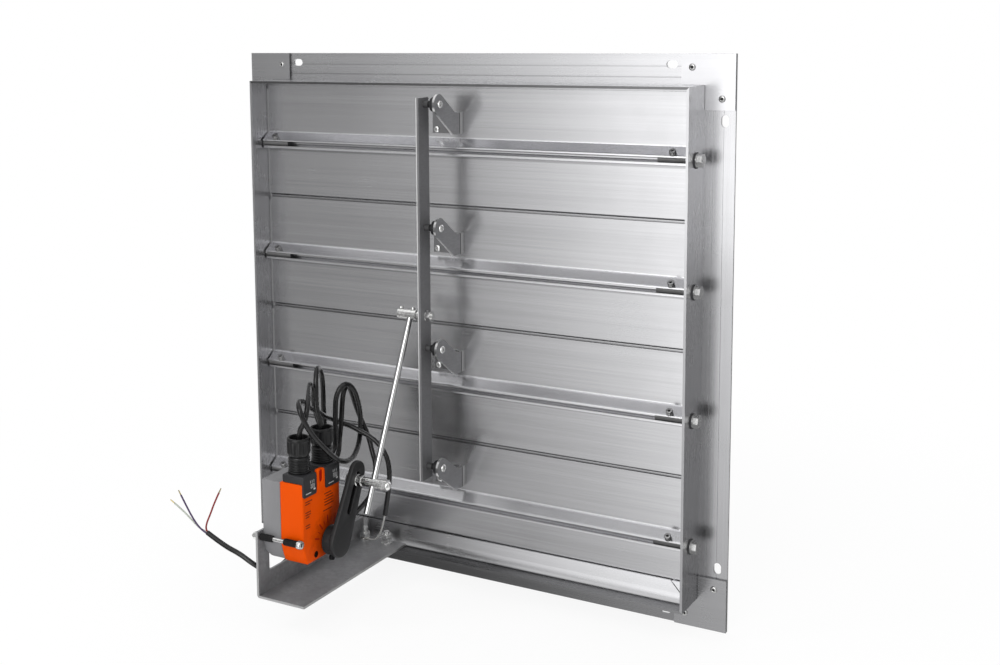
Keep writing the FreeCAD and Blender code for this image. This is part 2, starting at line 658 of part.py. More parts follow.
def pivot_pins():
    pins = []
    for z in PIN_ZS:
        tail = rod_x(BAR_LEFT - PIN_HEAD_T, BAR_LEFT, PIN_Y, z, PIN_HEAD_R)
        body = rod_x(BAR_LEFT, EAR_X + FACE_GAP, PIN_Y, z, PIN_R)
        shoulder = rod_x(BAR_RIGHT, EAR_LEFT - FACE_GAP - SPACER_L, PIN_Y, z, PIN_SHOULDER_R)
        head = rod_x(EAR_X + FACE_GAP, EAR_X + FACE_GAP + PIN_HEAD_T, PIN_Y, z, PIN_HEAD_R)
        dimple = rod_x(EAR_X + FACE_GAP + PIN_HEAD_T - 0.8, EAR_X + 9, PIN_Y, z, PIN_R * 0.6)
        pins.append(fuse([tail, body, shoulder, head]).cut(dimple))
    return group(pins)


def pivot_spacers():
    right = EAR_LEFT - FACE_GAP
    return group([ring_x(right - SPACER_L, right, PIN_Y, z, SPACER_R, PIN_R + SLACK) for z in PIN_ZS])


def rod_stud():
    """Stud through the tie bar, with its nut and washers, that carries the rod's upper swivel."""
    nut_right = BAR_RIGHT + WASHER_T + NUT_T
    stud = rod_x(UPPER_BODY[1] + WASHER_T + FACE_GAP, nut_right + 2.5, PIN_Y, STUD_Z, STUD_R)
    spigot = rod_x(UPPER_BODY[0] + 8, UPPER_BODY[1] + WASHER_T + FACE_GAP, PIN_Y, STUD_Z, STUD_R * 0.6)
    collar = rod_x(UPPER_BODY[1] + WASHER_T + FACE_GAP, BAR_LEFT, PIN_Y, STUD_Z, UPPER_COLLAR_R)
    return fuse([stud, spigot, collar]), nut_right


def stud_nut():
    nut_right = rod_stud()[1]
    washer = ring_x(BAR_RIGHT, BAR_RIGHT + WASHER_T, PIN_Y, STUD_Z, WASHER_R, STUD_R + SLACK)
    nut = nut_x(BAR_RIGHT + WASHER_T, nut_right, PIN_Y, STUD_Z, NUT_AF, STUD_R + SLACK)
    return group([washer, nut])


# Drive rod

def rod_direction():
    dy, dz = PIN_Y - SWIVEL_Y, STUD_Z - SWIVEL_Z
    length = math.hypot(dy, dz)
    return dy / length, dz / length, length


def drive_rod():
    uy, uz, length = rod_direction()
    whole = ROD_TAIL + length + ROD_TOP_STAND
    start = V(ROD_X, SWIVEL_Y - uy * ROD_TAIL, SWIVEL_Z - uz * ROD_TAIL)
    rod = Part.makeCylinder(ROD_R, whole, start, V(0, uy, uz))
    tip = UPPER_BODY[0] + 8
    return rod.cut(rod_x(tip, UPPER_BODY[1] + 5, PIN_Y, STUD_Z, STUD_R * 0.6 + RUN_GAP))


def rod_bore(y, z):
    uy, uz, _ = rod_direction()
    reach = 30
    return Part.makeCylinder(ROD_R + SWIVEL_BORE_GAP, 2 * reach, V(ROD_X, y - uy * reach, z - uz * reach),
                             V(0, uy, uz))


def upper_swivel():
    """Body that grips the rod's top end and turns on the stud's spigot."""
    body = rod_x(UPPER_BODY[0], UPPER_BODY[1], PIN_Y, STUD_Z, UPPER_BODY_R)
    body = body.cut(rod_x(UPPER_BODY[0] + 8 - FACE_GAP, UPPER_BODY[1] + 1, PIN_Y, STUD_Z, STUD_R * 0.6 + RUN_GAP))
    washer = ring_x(UPPER_BODY[1], UPPER_BODY[1] + WASHER_T, PIN_Y, STUD_Z, WASHER_R, STUD_R * 0.6 + RUN_GAP)
    body = fuse([body, washer])
    return body.cut(rod_bore(PIN_Y, STUD_Z))


def lower_swivel():
    body = rod_x(LOWER_BODY[0], LOWER_BODY[1], SWIVEL_Y, SWIVEL_Z, LOWER_BODY_R)
    return body.cut(rod_bore(SWIVEL_Y, SWIVEL_Z))


def swivel_fasteners():
    """Clamp screws on both swivels and the cap nut that closes the lower one."""
    parts = []
    for x in (UPPER_BODY[1] - 4.2, UPPER_BODY[0] + 3.5):
        top = STUD_Z + UPPER_BODY_R
        parts.append(rod_z(x, PIN_Y, top, top + 2.6, CLAMP_SCREW_HEAD_R))
    left = LOWER_BODY[1]
    washers = [ring_x(left + k * 1.5, left + k * 1.5 + 1.3, SWIVEL_Y, SWIVEL_Z, 6.4 - k, STUD_R + SLACK) for k in (0, 1)]
    nut_left = left + 3.0
    nut = hexagon_x(nut_left, nut_left + CAP_NUT_T, SWIVEL_Y, SWIVEL_Z, NUT_AF)
    dome = Part.makeSphere(CAP_DOME_R, V(nut_left + CAP_NUT_T - 1.5, SWIVEL_Y, SWIVEL_Z))
    keep = rod_x(nut_left + 1, nut_left + 30, SWIVEL_Y, SWIVEL_Z, CAP_DOME_R + 1)
    cap = fuse([nut, dome.common(keep)])
    neck = rod_x(left, nut_left, SWIVEL_Y, SWIVEL_Z, STUD_R)
    return group(parts + washers + [fuse([cap, neck])])


# Crank arm

def arm_point(reach):
    return (HUB_Y + reach * ARM_UNIT[0], HUB_Z + reach * ARM_UNIT[1])


def crank_arm():
    plate = tapered_link(ARM_LEFT, ARM_RIGHT, (HUB_Y, HUB_Z), ARM_HUB_R, arm_point(ARM_LENGTH), ARM_TIP_R)
    slot = tapered_link(ARM_LEFT - 1, ARM_RIGHT + 1, arm_point(ARM_SLOT[0] + ARM_SLOT_W / 2), ARM_SLOT_W / 2,
                        arm_point(ARM_SLOT[1] - ARM_SLOT_W / 2), ARM_SLOT_W / 2 - 0.001)
    boss = rod_x(COVER_RIGHT + 1.0, ARM_LEFT, HUB_Y, HUB_Z, BOSS_R)
    arm = fuse([plate.cut(slot), boss])
    arm = arm.cut(rod_x(COVER_RIGHT, ARM_RIGHT - ARM_FACE_LEFT, HUB_Y, HUB_Z, SHAFT_R + SLACK))
    x = (COVER_RIGHT + ARM_LEFT) / 2
    return arm.cut(rod_z(x, HUB_Y - 4, HUB_Z - BOSS_R - 5, HUB_Z - 8, CLAMP_SCREW_R + SLACK))


def crank_stud():
    right = CRANK_SPLIT_X
    left = ARM_LEFT - NUT_T - 1.5
    return rod_x(left, right, SWIVEL_Y, SWIVEL_Z, STUD_R)


def crank_nuts():
    """Nuts on the crank stud and the clamp screw of the arm's hub."""
    outer = nut_x(ARM_LEFT - NUT_T, ARM_LEFT, SWIVEL_Y, SWIVEL_Z, NUT_AF, STUD_R + SLACK)
    washer = ring_x(ARM_RIGHT, ARM_RIGHT + WASHER_T, SWIVEL_Y, SWIVEL_Z, WASHER_R + 0.6, STUD_R + SLACK)
    inner = nut_x(ARM_RIGHT + WASHER_T, ARM_RIGHT + WASHER_T + NUT_T, SWIVEL_Y, SWIVEL_Z, NUT_AF, STUD_R + SLACK)
    jam_left = ARM_RIGHT + WASHER_T + NUT_T
    jam = nut_x(jam_left, CRANK_SPLIT_X - 0.2, SWIVEL_Y, SWIVEL_Z, 10.4, STUD_R + SLACK)
    x = (COVER_RIGHT + ARM_LEFT) / 2
    screw = fuse([rod_z(x, HUB_Y - 4, HUB_Z - BOSS_R - 2, HUB_Z - 9, CLAMP_SCREW_R),
                  rod_z(x, HUB_Y - 4, HUB_Z - BOSS_R - 5, HUB_Z - BOSS_R - 0.5, CLAMP_SCREW_HEAD_R)])
    return group([outer, washer, inner, jam, screw])


def output_shaft():
    return rod_x(BASE_LEFT + SHELL + 1.2, ARM_RIGHT - ARM_FACE_LEFT - FACE_GAP, HUB_Y, HUB_Z, SHAFT_R)


# Gear train

def idler_centre():
    reach = MODULE * (OUT_TEETH + IDLER_PINION_TEETH) / 2 + MESH_GAP
    return (HUB_Y, HUB_Z + reach)


def motor_centre():
    y, z = idler_centre()
    reach = MODULE * (IDLER_WHEEL_TEETH + MOTOR_TEETH) / 2 + MESH_GAP
    a = math.radians(MOTOR_DIRECTION)
    return (y + reach * math.cos(a), z + reach * math.sin(a))


def gear(x0, x1, centre, teeth, start, bore):
    """Spur gear with straight-sided teeth; start is the angle of one tooth's middle."""
    pitch_r = MODULE * teeth / 2
    root_r, tip_r = pitch_r - 1.15 * MODULE, pitch_r + 0.9 * MODULE
    step = 360.0 / teeth
    outline = []
    for k in range(teeth):
        mid = start + k * step
        for r, share in ((root_r, -0.36), (tip_r, -0.11), (tip_r, 0.11), (root_r, 0.36)):
            a = math.radians(mid + share * step)
            outline.append((centre[0] + r * math.cos(a), centre[1] + r * math.sin(a)))
    wheel = slab_x(outline, x0, x1)
    if bore:
        wheel = wheel.cut(rod_x(x0 - 1, x1 + 1, centre[0], centre[1], bore))
    return wheel


def output_gear():
    return gear(GEAR_A[0], GEAR_A[1], (HUB_Y, HUB_Z), OUT_TEETH, 90.0, SHAFT_R + SLACK)


def idler_gear():
    centre = idler_centre()
    pinion = gear(GEAR_A[0], GEAR_A[1], centre, IDLER_PINION_TEETH, -90 + 180 / IDLER_PINION_TEETH, 0)
    wheel = gear(GEAR_B[0], GEAR_B[1], centre, IDLER_WHEEL_TEETH, MOTOR_DIRECTION, 0)
    hub = rod_x(GEAR_B[1], GEAR_A[0], centre[0], centre[1], 4.5)
    left = rod_x(PLATE_LEFT[0], GEAR_B[0], centre[0], centre[1], STUB_R)
    right = rod_x(GEAR_A[1], PLATE_RIGHT[1], centre[0], centre[1], STUB_R)
    return fuse([pinion, wheel, hub, left, right])


def motor_pinion():
    start = MOTOR_DIRECTION + 180 + 180 / MOTOR_TEETH
    return gear(GEAR_B[0], GEAR_B[1], motor_centre(), MOTOR_TEETH, start, MOTOR_SHAFT_R + SLACK)


def motor_spindle():
    y, z = motor_centre()
    return rod_x(MOTOR_LEFT + 3, GEAR_B[1] + 1, y, z, MOTOR_SHAFT_R)


def motor():
    y, z = motor_centre()
    can = rod_x(MOTOR_LEFT, PLATE_LEFT[0], y, z, MOTOR_R)
    return can.cut(rod_x(MOTOR_LEFT + 2.5, PLATE_LEFT[0] + 1, y, z, MOTOR_SHAFT_R + RUN_GAP))


def gear_plates():
    """Two bearing plates joined by pillars, which hold the shaft and the idler."""
    y0, y1 = ACT_FRONT + SHELL + BASE_SHRINK + 0.5, ACT_REAR - SHELL - BASE_SHRINK - 0.5
    z0, z1 = ACT_LOW + SHELL + BASE_SHRINK + 0.5, ACT_TOP - SHELL - BASE_SHRINK - 0.5
    left = box(PLATE_LEFT[0], PLATE_LEFT[1], y0, y1, z0, z1)
    right = box(PLATE_RIGHT[0], PLATE_RIGHT[1], y0 + 6, y1 - 3, z0 + 2, z0 + RIGHT_PLATE_H)
    pillars = []
    for y, z in ((y0 + LOW_PILLAR_INSET, z0 + 6), (y1 - 7, z0 + PILLAR_TOP), (y0 + 10, z0 + PILLAR_TOP)):
        pillars.append(rod_x(PLATE_LEFT[1], PLATE_RIGHT[0], y, z, PILLAR_R))
    plates = fuse([left, right] + pillars)
    plates = plates.common(slab_x(housing_outline(SHELL + BASE_SHRINK + 0.5), PLATE_LEFT[0] - 1, PLATE_RIGHT[1] + 1))
    iy, iz = idler_centre()
    my, mz = motor_centre()
    for y, z in cover_screw_places():
        plates = plates.cut(rod_x(PLATE_LEFT[0] - 1, PLATE_LEFT[1] + 1, y, z, COVER_SCREW_R + FACE_GAP))
    return cut(plates, [
        rod_x(PLATE_LEFT[0] - 1, PLATE_RIGHT[1] + 1, HUB_Y, HUB_Z, SHAFT_R + RUN_GAP),
        rod_x(PLATE_LEFT[0] - 1, PLATE_LEFT[1] + 1, iy, iz, STUB_R + RUN_GAP),
        rod_x(PLATE_RIGHT[0] - 1, PLATE_RIGHT[1] + 1, iy, iz, STUB_R + RUN_GAP),
        rod_x(PLATE_LEFT[0] - 1, PLATE_LEFT[1] + 1, my, mz, MOTOR_SHAFT_R + 1),
    ])


def return_spring():
    """Flat spiral spring round the shaft, drawn as half turns of growing radius."""
    turns = 4
    step = (SPRING_OUT - SPRING_IN - SPRING_STRIP) / (2 * turns)
    edges = []
    outer_edges = []
    y, r = HUB_Y, SPRING_IN
    side = 1
    for _ in range(2 * turns):
        start, end = y + side * r, y - side * (r + step)
        mid_y, half = (start + end) / 2, abs(start - end) / 2
        edges.append(Part.Arc(V(SPRING_SPAN[0], start, HUB_Z), V(SPRING_SPAN[0], mid_y, HUB_Z + side * half),
                              V(SPRING_SPAN[0], end, HUB_Z)).toShape())
        grow = SPRING_STRIP
        outer_edges.append(Part.Arc(V(SPRING_SPAN[0], start + side * grow, HUB_Z),
                                    V(SPRING_SPAN[0], mid_y, HUB_Z + side * (half + grow)),
                                    V(SPRING_SPAN[0], end - side * grow, HUB_Z)).toShape())
        r += step
        side = -side
    first = Part.LineSegment(edges[0].Vertexes[0].Point, outer_edges[0].Vertexes[0].Point).toShape()
    last = Part.LineSegment(edges[-1].Vertexes[-1].Point, outer_edges[-1].Vertexes[-1].Point).toShape()
    wire = Part.Wire(Part.__sortEdges__(edges + outer_edges + [first, last]))
    return Part.Face(wire).extrude(V(SPRING_SPAN[1] - SPRING_SPAN[0], 0, 0))


def limit_switches():
    switches = []
    x0, x1 = PLATE_LEFT[0] - 9, PLATE_LEFT[0]
    y0 = ACT_FRONT + SWITCH_INSET
    for down in SWITCH_DROPS:
        z = ACT_TOP - down
        case = box(x0, x1, y0, y0 + SWITCH_L, z, z + SWITCH_H)
        button = box(x0 + 3, x0 + 5.5, y0 + SWITCH_L - 6, y0 + SWITCH_L - 3, z - 1.4, z)
        switches.append(fuse([case, button]))
    return group(switches)


def circuit_board():
    x0 = COVER_RIGHT - SHELL - BOARD_POST - BOARD_T
    board = box(x0, x0 + BOARD_T, *BOARD_Y, *BOARD_Z)
    relay = box(x0 - 7, x0, BOARD_Y[0] + 4, BOARD_Y[0] + 19, BOARD_Z[0] + 13, BOARD_Z[1] - 9)
    block = box(x0 - 8, x0, BOARD_Y[1] - 19, BOARD_Y[1] - 4, BOARD_Z[0] + 17, BOARD_Z[1] - 5)
    return fuse([board, relay, block])


# Actuator housing

def inset_outline(points, inset):
    """Convex outline with each side moved inwards."""
    turn = sum(a[0] * b[1] - b[0] * a[1] for a, b in zip(points, points[1:] + points[:1]))
    inwards = inset if turn > 0 else -inset
    lines = []
    for a, b in zip(points, points[1:] + points[:1]):
        dy, dz = b[0] - a[0], b[1] - a[1]
        length = math.hypot(dy, dz)
        lines.append((a[0] - inwards * dz / length, a[1] + inwards * dy / length, dy / length, dz / length))
    corners = []
    for before, after in zip(lines[-1:] + lines[:-1], lines):
        cross = before[2] * after[3] - before[3] * after[2]
        t = ((after[0] - before[0]) * after[3] - (after[1] - before[1]) * after[2]) / cross
        corners.append((before[0] + t * before[2], before[1] + t * before[3]))
    return corners


def housing_outline(inset):
    """(Y, Z) outline of the housing, whose lower front corner is rounded off towards the hub."""
    nose = [(ACT_FRONT + back, ACT_LOW + up) for back, up in HOUSING_NOSE]
    heel = [(ACT_REAR - HOUSING_HEEL, ACT_LOW), (ACT_REAR, ACT_LOW + HOUSING_HEEL)]
    return inset_outline([(ACT_REAR, ACT_TOP), (ACT_FRONT, ACT_TOP)] + nose + heel, inset)


def base_outline(grow):
    """(X, Z) outline of the base, with its lower left corner cut off."""
    low, top = ACT_LOW + BASE_SHRINK - grow, ACT_TOP - BASE_SHRINK + grow
    left = BASE_LEFT - grow
    c = BASE_LOW_CHAMFER
    return [(left, top), (left, low + c), (left + c, low), (SPLIT_X, low), (SPLIT_X, top)]


def actuator_base():
    y0, y1 = ACT_FRONT + BASE_SHRINK, ACT_REAR - BASE_SHRINK
    outer = prism([(x, y0, z) for x, z in base_outline(0)], (0, y1 - y0, 0))
    outer = outer.common(slab_x(housing_outline(BASE_SHRINK), BASE_LEFT - 1, SPLIT_X + 1))
    inner = prism([(x if x < SPLIT_X else x + 1, y0 + SHELL, z) for x, z in base_outline(-SHELL)],
                  (0, y1 - y0 - 2 * SHELL, 0))
    inner = inner.common(slab_x(housing_outline(BASE_SHRINK + SHELL), BASE_LEFT, SPLIT_X + 2))
    shell = outer.cut(inner)
    socket = ring_x(BASE_LEFT + SHELL, BASE_LEFT + SHELL + 7, HUB_Y, HUB_Z, 8.5, SHAFT_R + RUN_GAP)
    base = fuse([shell, socket])
    return cut(base, [rod_x(SPLIT_X - 9, SPLIT_X + 1, y, z, COVER_SCREW_R * 0.8) for y, z in cover_screw_places()])


def cover_screw_places():
    return ((ACT_FRONT + BASE_SHRINK + 1.6, -165.0), (ACT_REAR - BASE_SHRINK - 1.6, -165.0))


def actuator_cover():
    outer = slab_x(housing_outline(0), SPLIT_X, COVER_RIGHT)
    right = [e for e in outer.Edges if e.CenterOfMass.x > COVER_RIGHT - 0.01]
    outer = outer.makeChamfer(COVER_CHAMFER, right)
    inner = slab_x(housing_outline(SHELL), SPLIT_X - 1, COVER_RIGHT - SHELL)
    posts = []
    for y in (BOARD_Y[0] + BOARD_POST_INSET, BOARD_Y[1] - BOARD_POST_INSET):
        for z in (BOARD_Z[0] + BOARD_POST_INSET, BOARD_Z[1] - BOARD_POST_INSET):
            posts.append(rod_x(COVER_RIGHT - SHELL - BOARD_POST, COVER_RIGHT - SHELL, y, z, 2.5))
    cover = fuse([outer.cut(inner)] + posts)
    cover = cover.cut(rod_x(COVER_RIGHT - SHELL - 1, COVER_RIGHT + 1, HUB_Y, HUB_Z, SHAFT_R + 0.6))
    for y in GLAND_YS:
        cover = cover.cut(rod_z(GLAND_X, y, ACT_TOP - SHELL - 1, ACT_TOP + 1, CABLE_R + 1.5))
    channel_y = (CAP_SPANS[0][1] + CAP_SPANS[1][0]) / 2
    channel = box(COVER_RIGHT - 1.2, COVER_RIGHT + 1, channel_y - 2.6, channel_y + 2.6, ACT_TOP - 16, ACT_TOP + 1)
    return cover.cut(channel)


def terminal_caps():
    caps = []
    for (y0, y1), gland_y in zip(CAP_SPANS, GLAND_YS):
        slab = box(CAP_LEFT, COVER_RIGHT + CAP_TAB_T, y0, y1, ACT_TOP, CAP_TOP)
        tab = box(COVER_RIGHT, COVER_RIGHT + CAP_TAB_T, y0 + TAB_INSET, y1 - TAB_INSET, CAP_TAB_LOW, ACT_TOP)
        cap = fuse([slab, tab])
        caps.append(cap.cut(rod_z(GLAND_X, gland_y, ACT_TOP - 1, CAP_TOP + 1, CABLE_R + 1.5)))
    return group(caps)


def gland_bodies():
    bodies = []
    for y in GLAND_YS:
        core = rod_z(GLAND_X, y, CAP_TOP, CAP_TOP + GLAND_BODY_H, GLAND_RING_R)
        rings = [rod_z(GLAND_X, y, CAP_TOP + 0.6 + k * 3.0, CAP_TOP + 2.6 + k * 3.0, GLAND_BODY_R) for k in range(6)]
        body = fuse([core] + rings)
        bodies.append(body.cut(rod_z(GLAND_X, y, CAP_TOP - 1, CAP_TOP + GLAND_BODY_H + 1, CABLE_R + FACE_GAP)))
    return group(bodies)


def gland_nuts():
    nuts = []
    for y in GLAND_YS:
        z0 = CAP_TOP + GLAND_BODY_H
        nut = rod_z(GLAND_X, y, z0, z0 + GLAND_NUT_H, GLAND_NUT_R)
        nut = nut.makeChamfer(1.5, [e for e in nut.Edges if e.CenterOfMass.z < z0 + 0.01])
        mouth = rod_z(GLAND_X, y, z0 + GLAND_NUT_H - GLAND_MOUTH_DEPTH, z0 + GLAND_NUT_H + 1, GLAND_MOUTH_R)
        bore = rod_z(GLAND_X, y, z0 - 1, z0 + GLAND_NUT_H + 1, CABLE_R + SLACK)
        nuts.append(nut.cut(mouth).cut(bore))
    return group(nuts)


def cover_screws():
    screws = []
    for y, z in cover_screw_places():
        screws.append(rod_x(SPLIT_X - 8, SPLIT_X - 0.2, y, z, COVER_SCREW_R * 0.78))
    return group(screws)


# Bracket and its fasteners

def actuator_bracket():
    x0, x1 = BRACKET_LEFT, BRACKET_RIGHT
    y0, y1 = RETAIN_Y - RETAIN_EDGE, BRACKET_REAR
    floor = box(x0, x1, y0, y1, PLATE_Z, BRACKET_FLOOR)
    low = box(x0, x0 + BRACKET_T, y0, y1, PLATE_Z, PLATE_Z + LOW_FLANGE_H)
    post = box(x0, x0 + BRACKET_T, y0, y0 + POST_WIDTH, PLATE_Z, POST_TOP)
    bracket = fuse([floor, low, post])
    outer_bend = [e for e in bracket.Edges if abs(e.CenterOfMass.x - x0) < 0.01
                  and abs(e.CenterOfMass.z - PLATE_Z) < 0.01 and e.Length > 100]
    bracket = bracket.makeFillet(BEND_R, outer_bend)
    holes = [rod_z(x, BOLT_Y, PLATE_Z - 1, BRACKET_FLOOR + 1, BOLT_R + BOLT_SLACK) for x in BOLT_XS]
    holes.append(rod_x(x0 - 1, x0 + BRACKET_T + 1, RETAIN_Y, RETAIN_Z, RETAIN_R + SLACK))
    return cut(bracket, holes)


def bracket_bolts():
    """Bolts from below the frame's bottom wall, with a washer and nuts on the bracket."""
    parts = []
    under = -OUTER
    for x, nuts in zip(BOLT_XS, (1, 2)):
        head = hexagon_z(x, BOLT_Y, under - 5.3, under, NUT_AF)
        shank = rod_z(x, BOLT_Y, under - 0.5, BRACKET_FLOOR + WASHER_T + 14.5, BOLT_R)
        parts.append(fuse([head, shank]))
        z0 = BRACKET_FLOOR
        parts.append(ring_z(x, BOLT_Y, z0, z0 + WASHER_T, WASHER_R + 1, BOLT_R + SLACK))
        for k in range(nuts):
            low = z0 + WASHER_T + k * 5.6 + (1.6 if nuts == 1 else 0)
            nut = hexagon_z(x, BOLT_Y, low, low + 5.2, NUT_AF).cut(rod_z(x, BOLT_Y, low - 1, low + 7, BOLT_R + SLACK))
            parts.append(nut)
    return group(parts)


def retaining_bolt():
    shank = rod_x(BRACKET_LEFT - 8, RETAIN_HEAD[0], RETAIN_Y, RETAIN_Z, RETAIN_R)
    head = rod_x(RETAIN_HEAD[0], RETAIN_HEAD[1], RETAIN_Y, RETAIN_Z, RETAIN_SLEEVE_R + 0.4)
    socket = hexagon_x(RETAIN_HEAD[1] - 2.4, RETAIN_HEAD[1] + 1, RETAIN_Y, RETAIN_Z, 4.0)
    bolt = fuse([shank, head]).cut(socket)
    nut = nut_x(BRACKET_LEFT - 5.5, BRACKET_LEFT, RETAIN_Y, RETAIN_Z, 8.6, RETAIN_R + SLACK)
    return group([bolt, nut])


def retaining_sleeves():
    return group([ring_x(x0, x1, RETAIN_Y, RETAIN_Z, RETAIN_SLEEVE_R, RETAIN_R + SLACK) for x0, x1 in RETAIN_SLEEVES])


# Cables

def tube(points, r, name):
    """Round tube along straight runs joined by tangent arcs, as large as the runs allow."""
    pts = [V(*p) for p in points]
    edges = []
    last = pts[0]
    radii = []
    for before, here, after in zip(pts, pts[1:], pts[2:]):
        a, b = before - here, after - here
        half = (math.pi - a.getAngle(b)) / 2
        trim = 0.45 * min(a.Length, b.Length)
        radius = trim / math.tan(half)
        radii.append(radius)
        a.normalize()
        b.normalize()
        start, end = here + a * trim, here + b * trim
        bisector = a + b
        bisector.normalize()
        middle = here + bisector * (radius / math.cos(half) - radius)
        edges.append(Part.LineSegment(last, start).toShape())
        edges.append(Part.Arc(start, middle, end).toShape())
        last = end
    edges.append(Part.LineSegment(last, pts[-1]).toShape())
    path = Part.Wire(edges)
    length = path.Length
    heading = pts[1] - pts[0]
    profile = Part.Wire([Part.makeCircle(r, pts[0], heading)])
    solid = path.makePipeShell([profile], True, False)
    ideal = math.pi * r * r * length
    print(name, "length", round(length, 1), "least radius", round(min(radii), 1),
          "volume share", round(solid.Volume / ideal, 4))
    return solid


def wire_tips():
    tips = []
    for route in WIRE_ROUTES.values():
        a, b = V(*route[-2]), V(*route[-1])
        way = b - a
        way.normalize()
        tips.append(Part.makeCylinder(WIRE_R * 0.8, WIRE_TIP_L, b, way))
    x, y = EARTH_LUG
    z0 = BRACKET_FLOOR + WASHER_T
    eye = ring_z(x, y, z0, z0 + 1.4, 6.2, BOLT_R + SLACK)
    end = V(*EARTH_ROUTE[-1])
    tongue = V(x + 5.5, y - 6.0, z0 + 0.7)
    barrel_way = tongue - end
    gap = V(barrel_way)
    gap.normalize()
    barrel = Part.makeCylinder(2.0, barrel_way.Length - 1, end + gap, barrel_way)
    return group(tips + [eye.fuse(barrel).removeSplitter()])


def build():
    os.makedirs("parts", exist_ok=True)
    nodes = {
        "frame_top": frame_member(0).fuse(top_lip()).removeSplitter(),
        "frame_right": cut(frame_member(1), axle_holes(1)),
        "frame_left": cut(frame_member(3), axle_holes(-1)),
        "corner_plates": group([corner_plate(sx, sz) for sx in (-1, 1) for sz in (-1, 1)]),
        "corner_rivets": corner_rivets(),
        "axle_bushes": axle_bushes(),
        "tie_bar": tie_bar(),
        "pivot_pins": pivot_pins(),
        "pivot_spacers": pivot_spacers(),
        "rod_stud": rod_stud()[0],
        "stud_nut": stud_nut(),
        "drive_rod": drive_rod(),
        "upper_swivel": upper_swivel(),
        "lower_swivel": lower_swivel(),
        "swivel_fasteners": swivel_fasteners(),
        "crank_arm": crank_arm(),
        "crank_stud": crank_stud(),
        "crank_nuts": crank_nuts(),
        "output_shaft": output_shaft(),
        "output_gear": output_gear(),
        "idler_gear": idler_gear(),
        "motor_pinion": motor_pinion(),
        "motor_spindle": motor_spindle(),
        "motor": motor(),
        "gear_plates": gear_plates(),
        "return_spring": return_spring(),
        "limit_switches": limit_switches(),
        "circuit_board": circuit_board(),
        "actuator_base": actuator_base(),
        "actuator_cover": actuator_cover(),
        "terminal_caps": terminal_caps(),
        "gland_bodies": gland_bodies(),
        "gland_nuts": gland_nuts(),
        "cover_screws": cover_screws(),
        "actuator_bracket": actuator_bracket(),
        "bracket_bolts": bracket_bolts(),
        "retaining_bolt": retaining_bolt(),
        "retaining_sleeves": retaining_sleeves(),
        "cable_near": tube(CABLE_NEAR_ROUTE, CABLE_R, "cable_near"),
        "cable_supply": tube(CABLE_SUPPLY_ROUTE, CABLE_R, "cable_supply"),
        "earth_wire": tube(EARTH_ROUTE, WIRE_R, "earth_wire"),
        "wire_tips": wire_tips(),
    }
    for name, route in WIRE_ROUTES.items():
        nodes[name] = tube(route, WIRE_R, name)
    bottom = frame_member(2).fuse(sill_stop()).removeSplitter()
    nodes["frame_bottom"] = cut(bottom, [rod_z(x, BOLT_Y, -OUTER - 1, PLATE_Z + 1, BOLT_R + BOLT_SLACK)
                                         for x in BOLT_XS])
    for index in range(BLADE_COUNT):
        nodes[f"blade_{index + 1}"] = blade(index)
        nodes[f"blade_fasteners_{index + 1}"] = blade_fasteners(index)
        nodes[f"crank_bracket_{index + 1}"] = crank_bracket(index)
    for name, shape in nodes.items():
        if not shape.isValid():
            print("not valid:", name)
        shape.exportStep(f"parts/{name}.step")
    print(len(nodes), "nodes")


build()
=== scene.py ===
"""Motorised fan shutter, closed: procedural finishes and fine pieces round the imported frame.

The part's own frame has +X right, +Y into the wall and +Z up, with its origin in the middle of the flange's back
face. Routes and the places and sizes of pieces are written in millimetres. Settings, and what a material
measures, are in metres.
"""

import math

import bmesh
import bpy
from bpy.props import FloatProperty, FloatVectorProperty, IntProperty, PointerProperty
from bpy.types import Operator, Panel, PropertyGroup
from mathutils import Matrix, Vector


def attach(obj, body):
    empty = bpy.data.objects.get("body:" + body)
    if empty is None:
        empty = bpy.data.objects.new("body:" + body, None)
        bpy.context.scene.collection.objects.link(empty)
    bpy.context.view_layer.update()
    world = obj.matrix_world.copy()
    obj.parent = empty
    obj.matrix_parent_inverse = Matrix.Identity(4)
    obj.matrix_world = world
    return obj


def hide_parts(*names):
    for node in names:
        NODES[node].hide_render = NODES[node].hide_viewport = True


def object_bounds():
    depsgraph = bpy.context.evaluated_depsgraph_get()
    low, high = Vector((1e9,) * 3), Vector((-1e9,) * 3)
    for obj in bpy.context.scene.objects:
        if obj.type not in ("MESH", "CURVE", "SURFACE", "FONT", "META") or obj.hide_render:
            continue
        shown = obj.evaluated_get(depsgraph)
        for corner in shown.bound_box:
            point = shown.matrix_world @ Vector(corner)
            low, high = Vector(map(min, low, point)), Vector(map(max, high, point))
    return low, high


bl_info = {
    "name": "Fan Shutter",
    "version": (1, 0, 0),
    "blender": (4, 5, 0),
    "location": "3D View > Sidebar > Shutter",
    "description": "Finishes, cables and fine pieces of a motorised fan shutter",
    "category": "Object",
}

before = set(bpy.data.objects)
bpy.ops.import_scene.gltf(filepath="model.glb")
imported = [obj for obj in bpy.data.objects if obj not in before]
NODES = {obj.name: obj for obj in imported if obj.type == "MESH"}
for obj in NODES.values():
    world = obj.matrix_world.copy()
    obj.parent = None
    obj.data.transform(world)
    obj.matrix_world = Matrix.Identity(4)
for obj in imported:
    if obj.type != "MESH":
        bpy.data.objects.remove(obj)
CAD_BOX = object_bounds()
MM = 0.001


def srgb(red, green, blue):
    """A colour written in 0..255 as Blender's linear numbers."""
    def linear(value):
        value /= 255
        return value / 12.92 if value <= 0.04045 else ((value + 0.055) / 1.055) ** 2.4
    return linear(red), linear(green), linear(blue)


def mm(*numbers):
    """A vector written in millimetres."""
    return Vector([number * MM for number in numbers])


# ---------------------------------------------------------------- settings

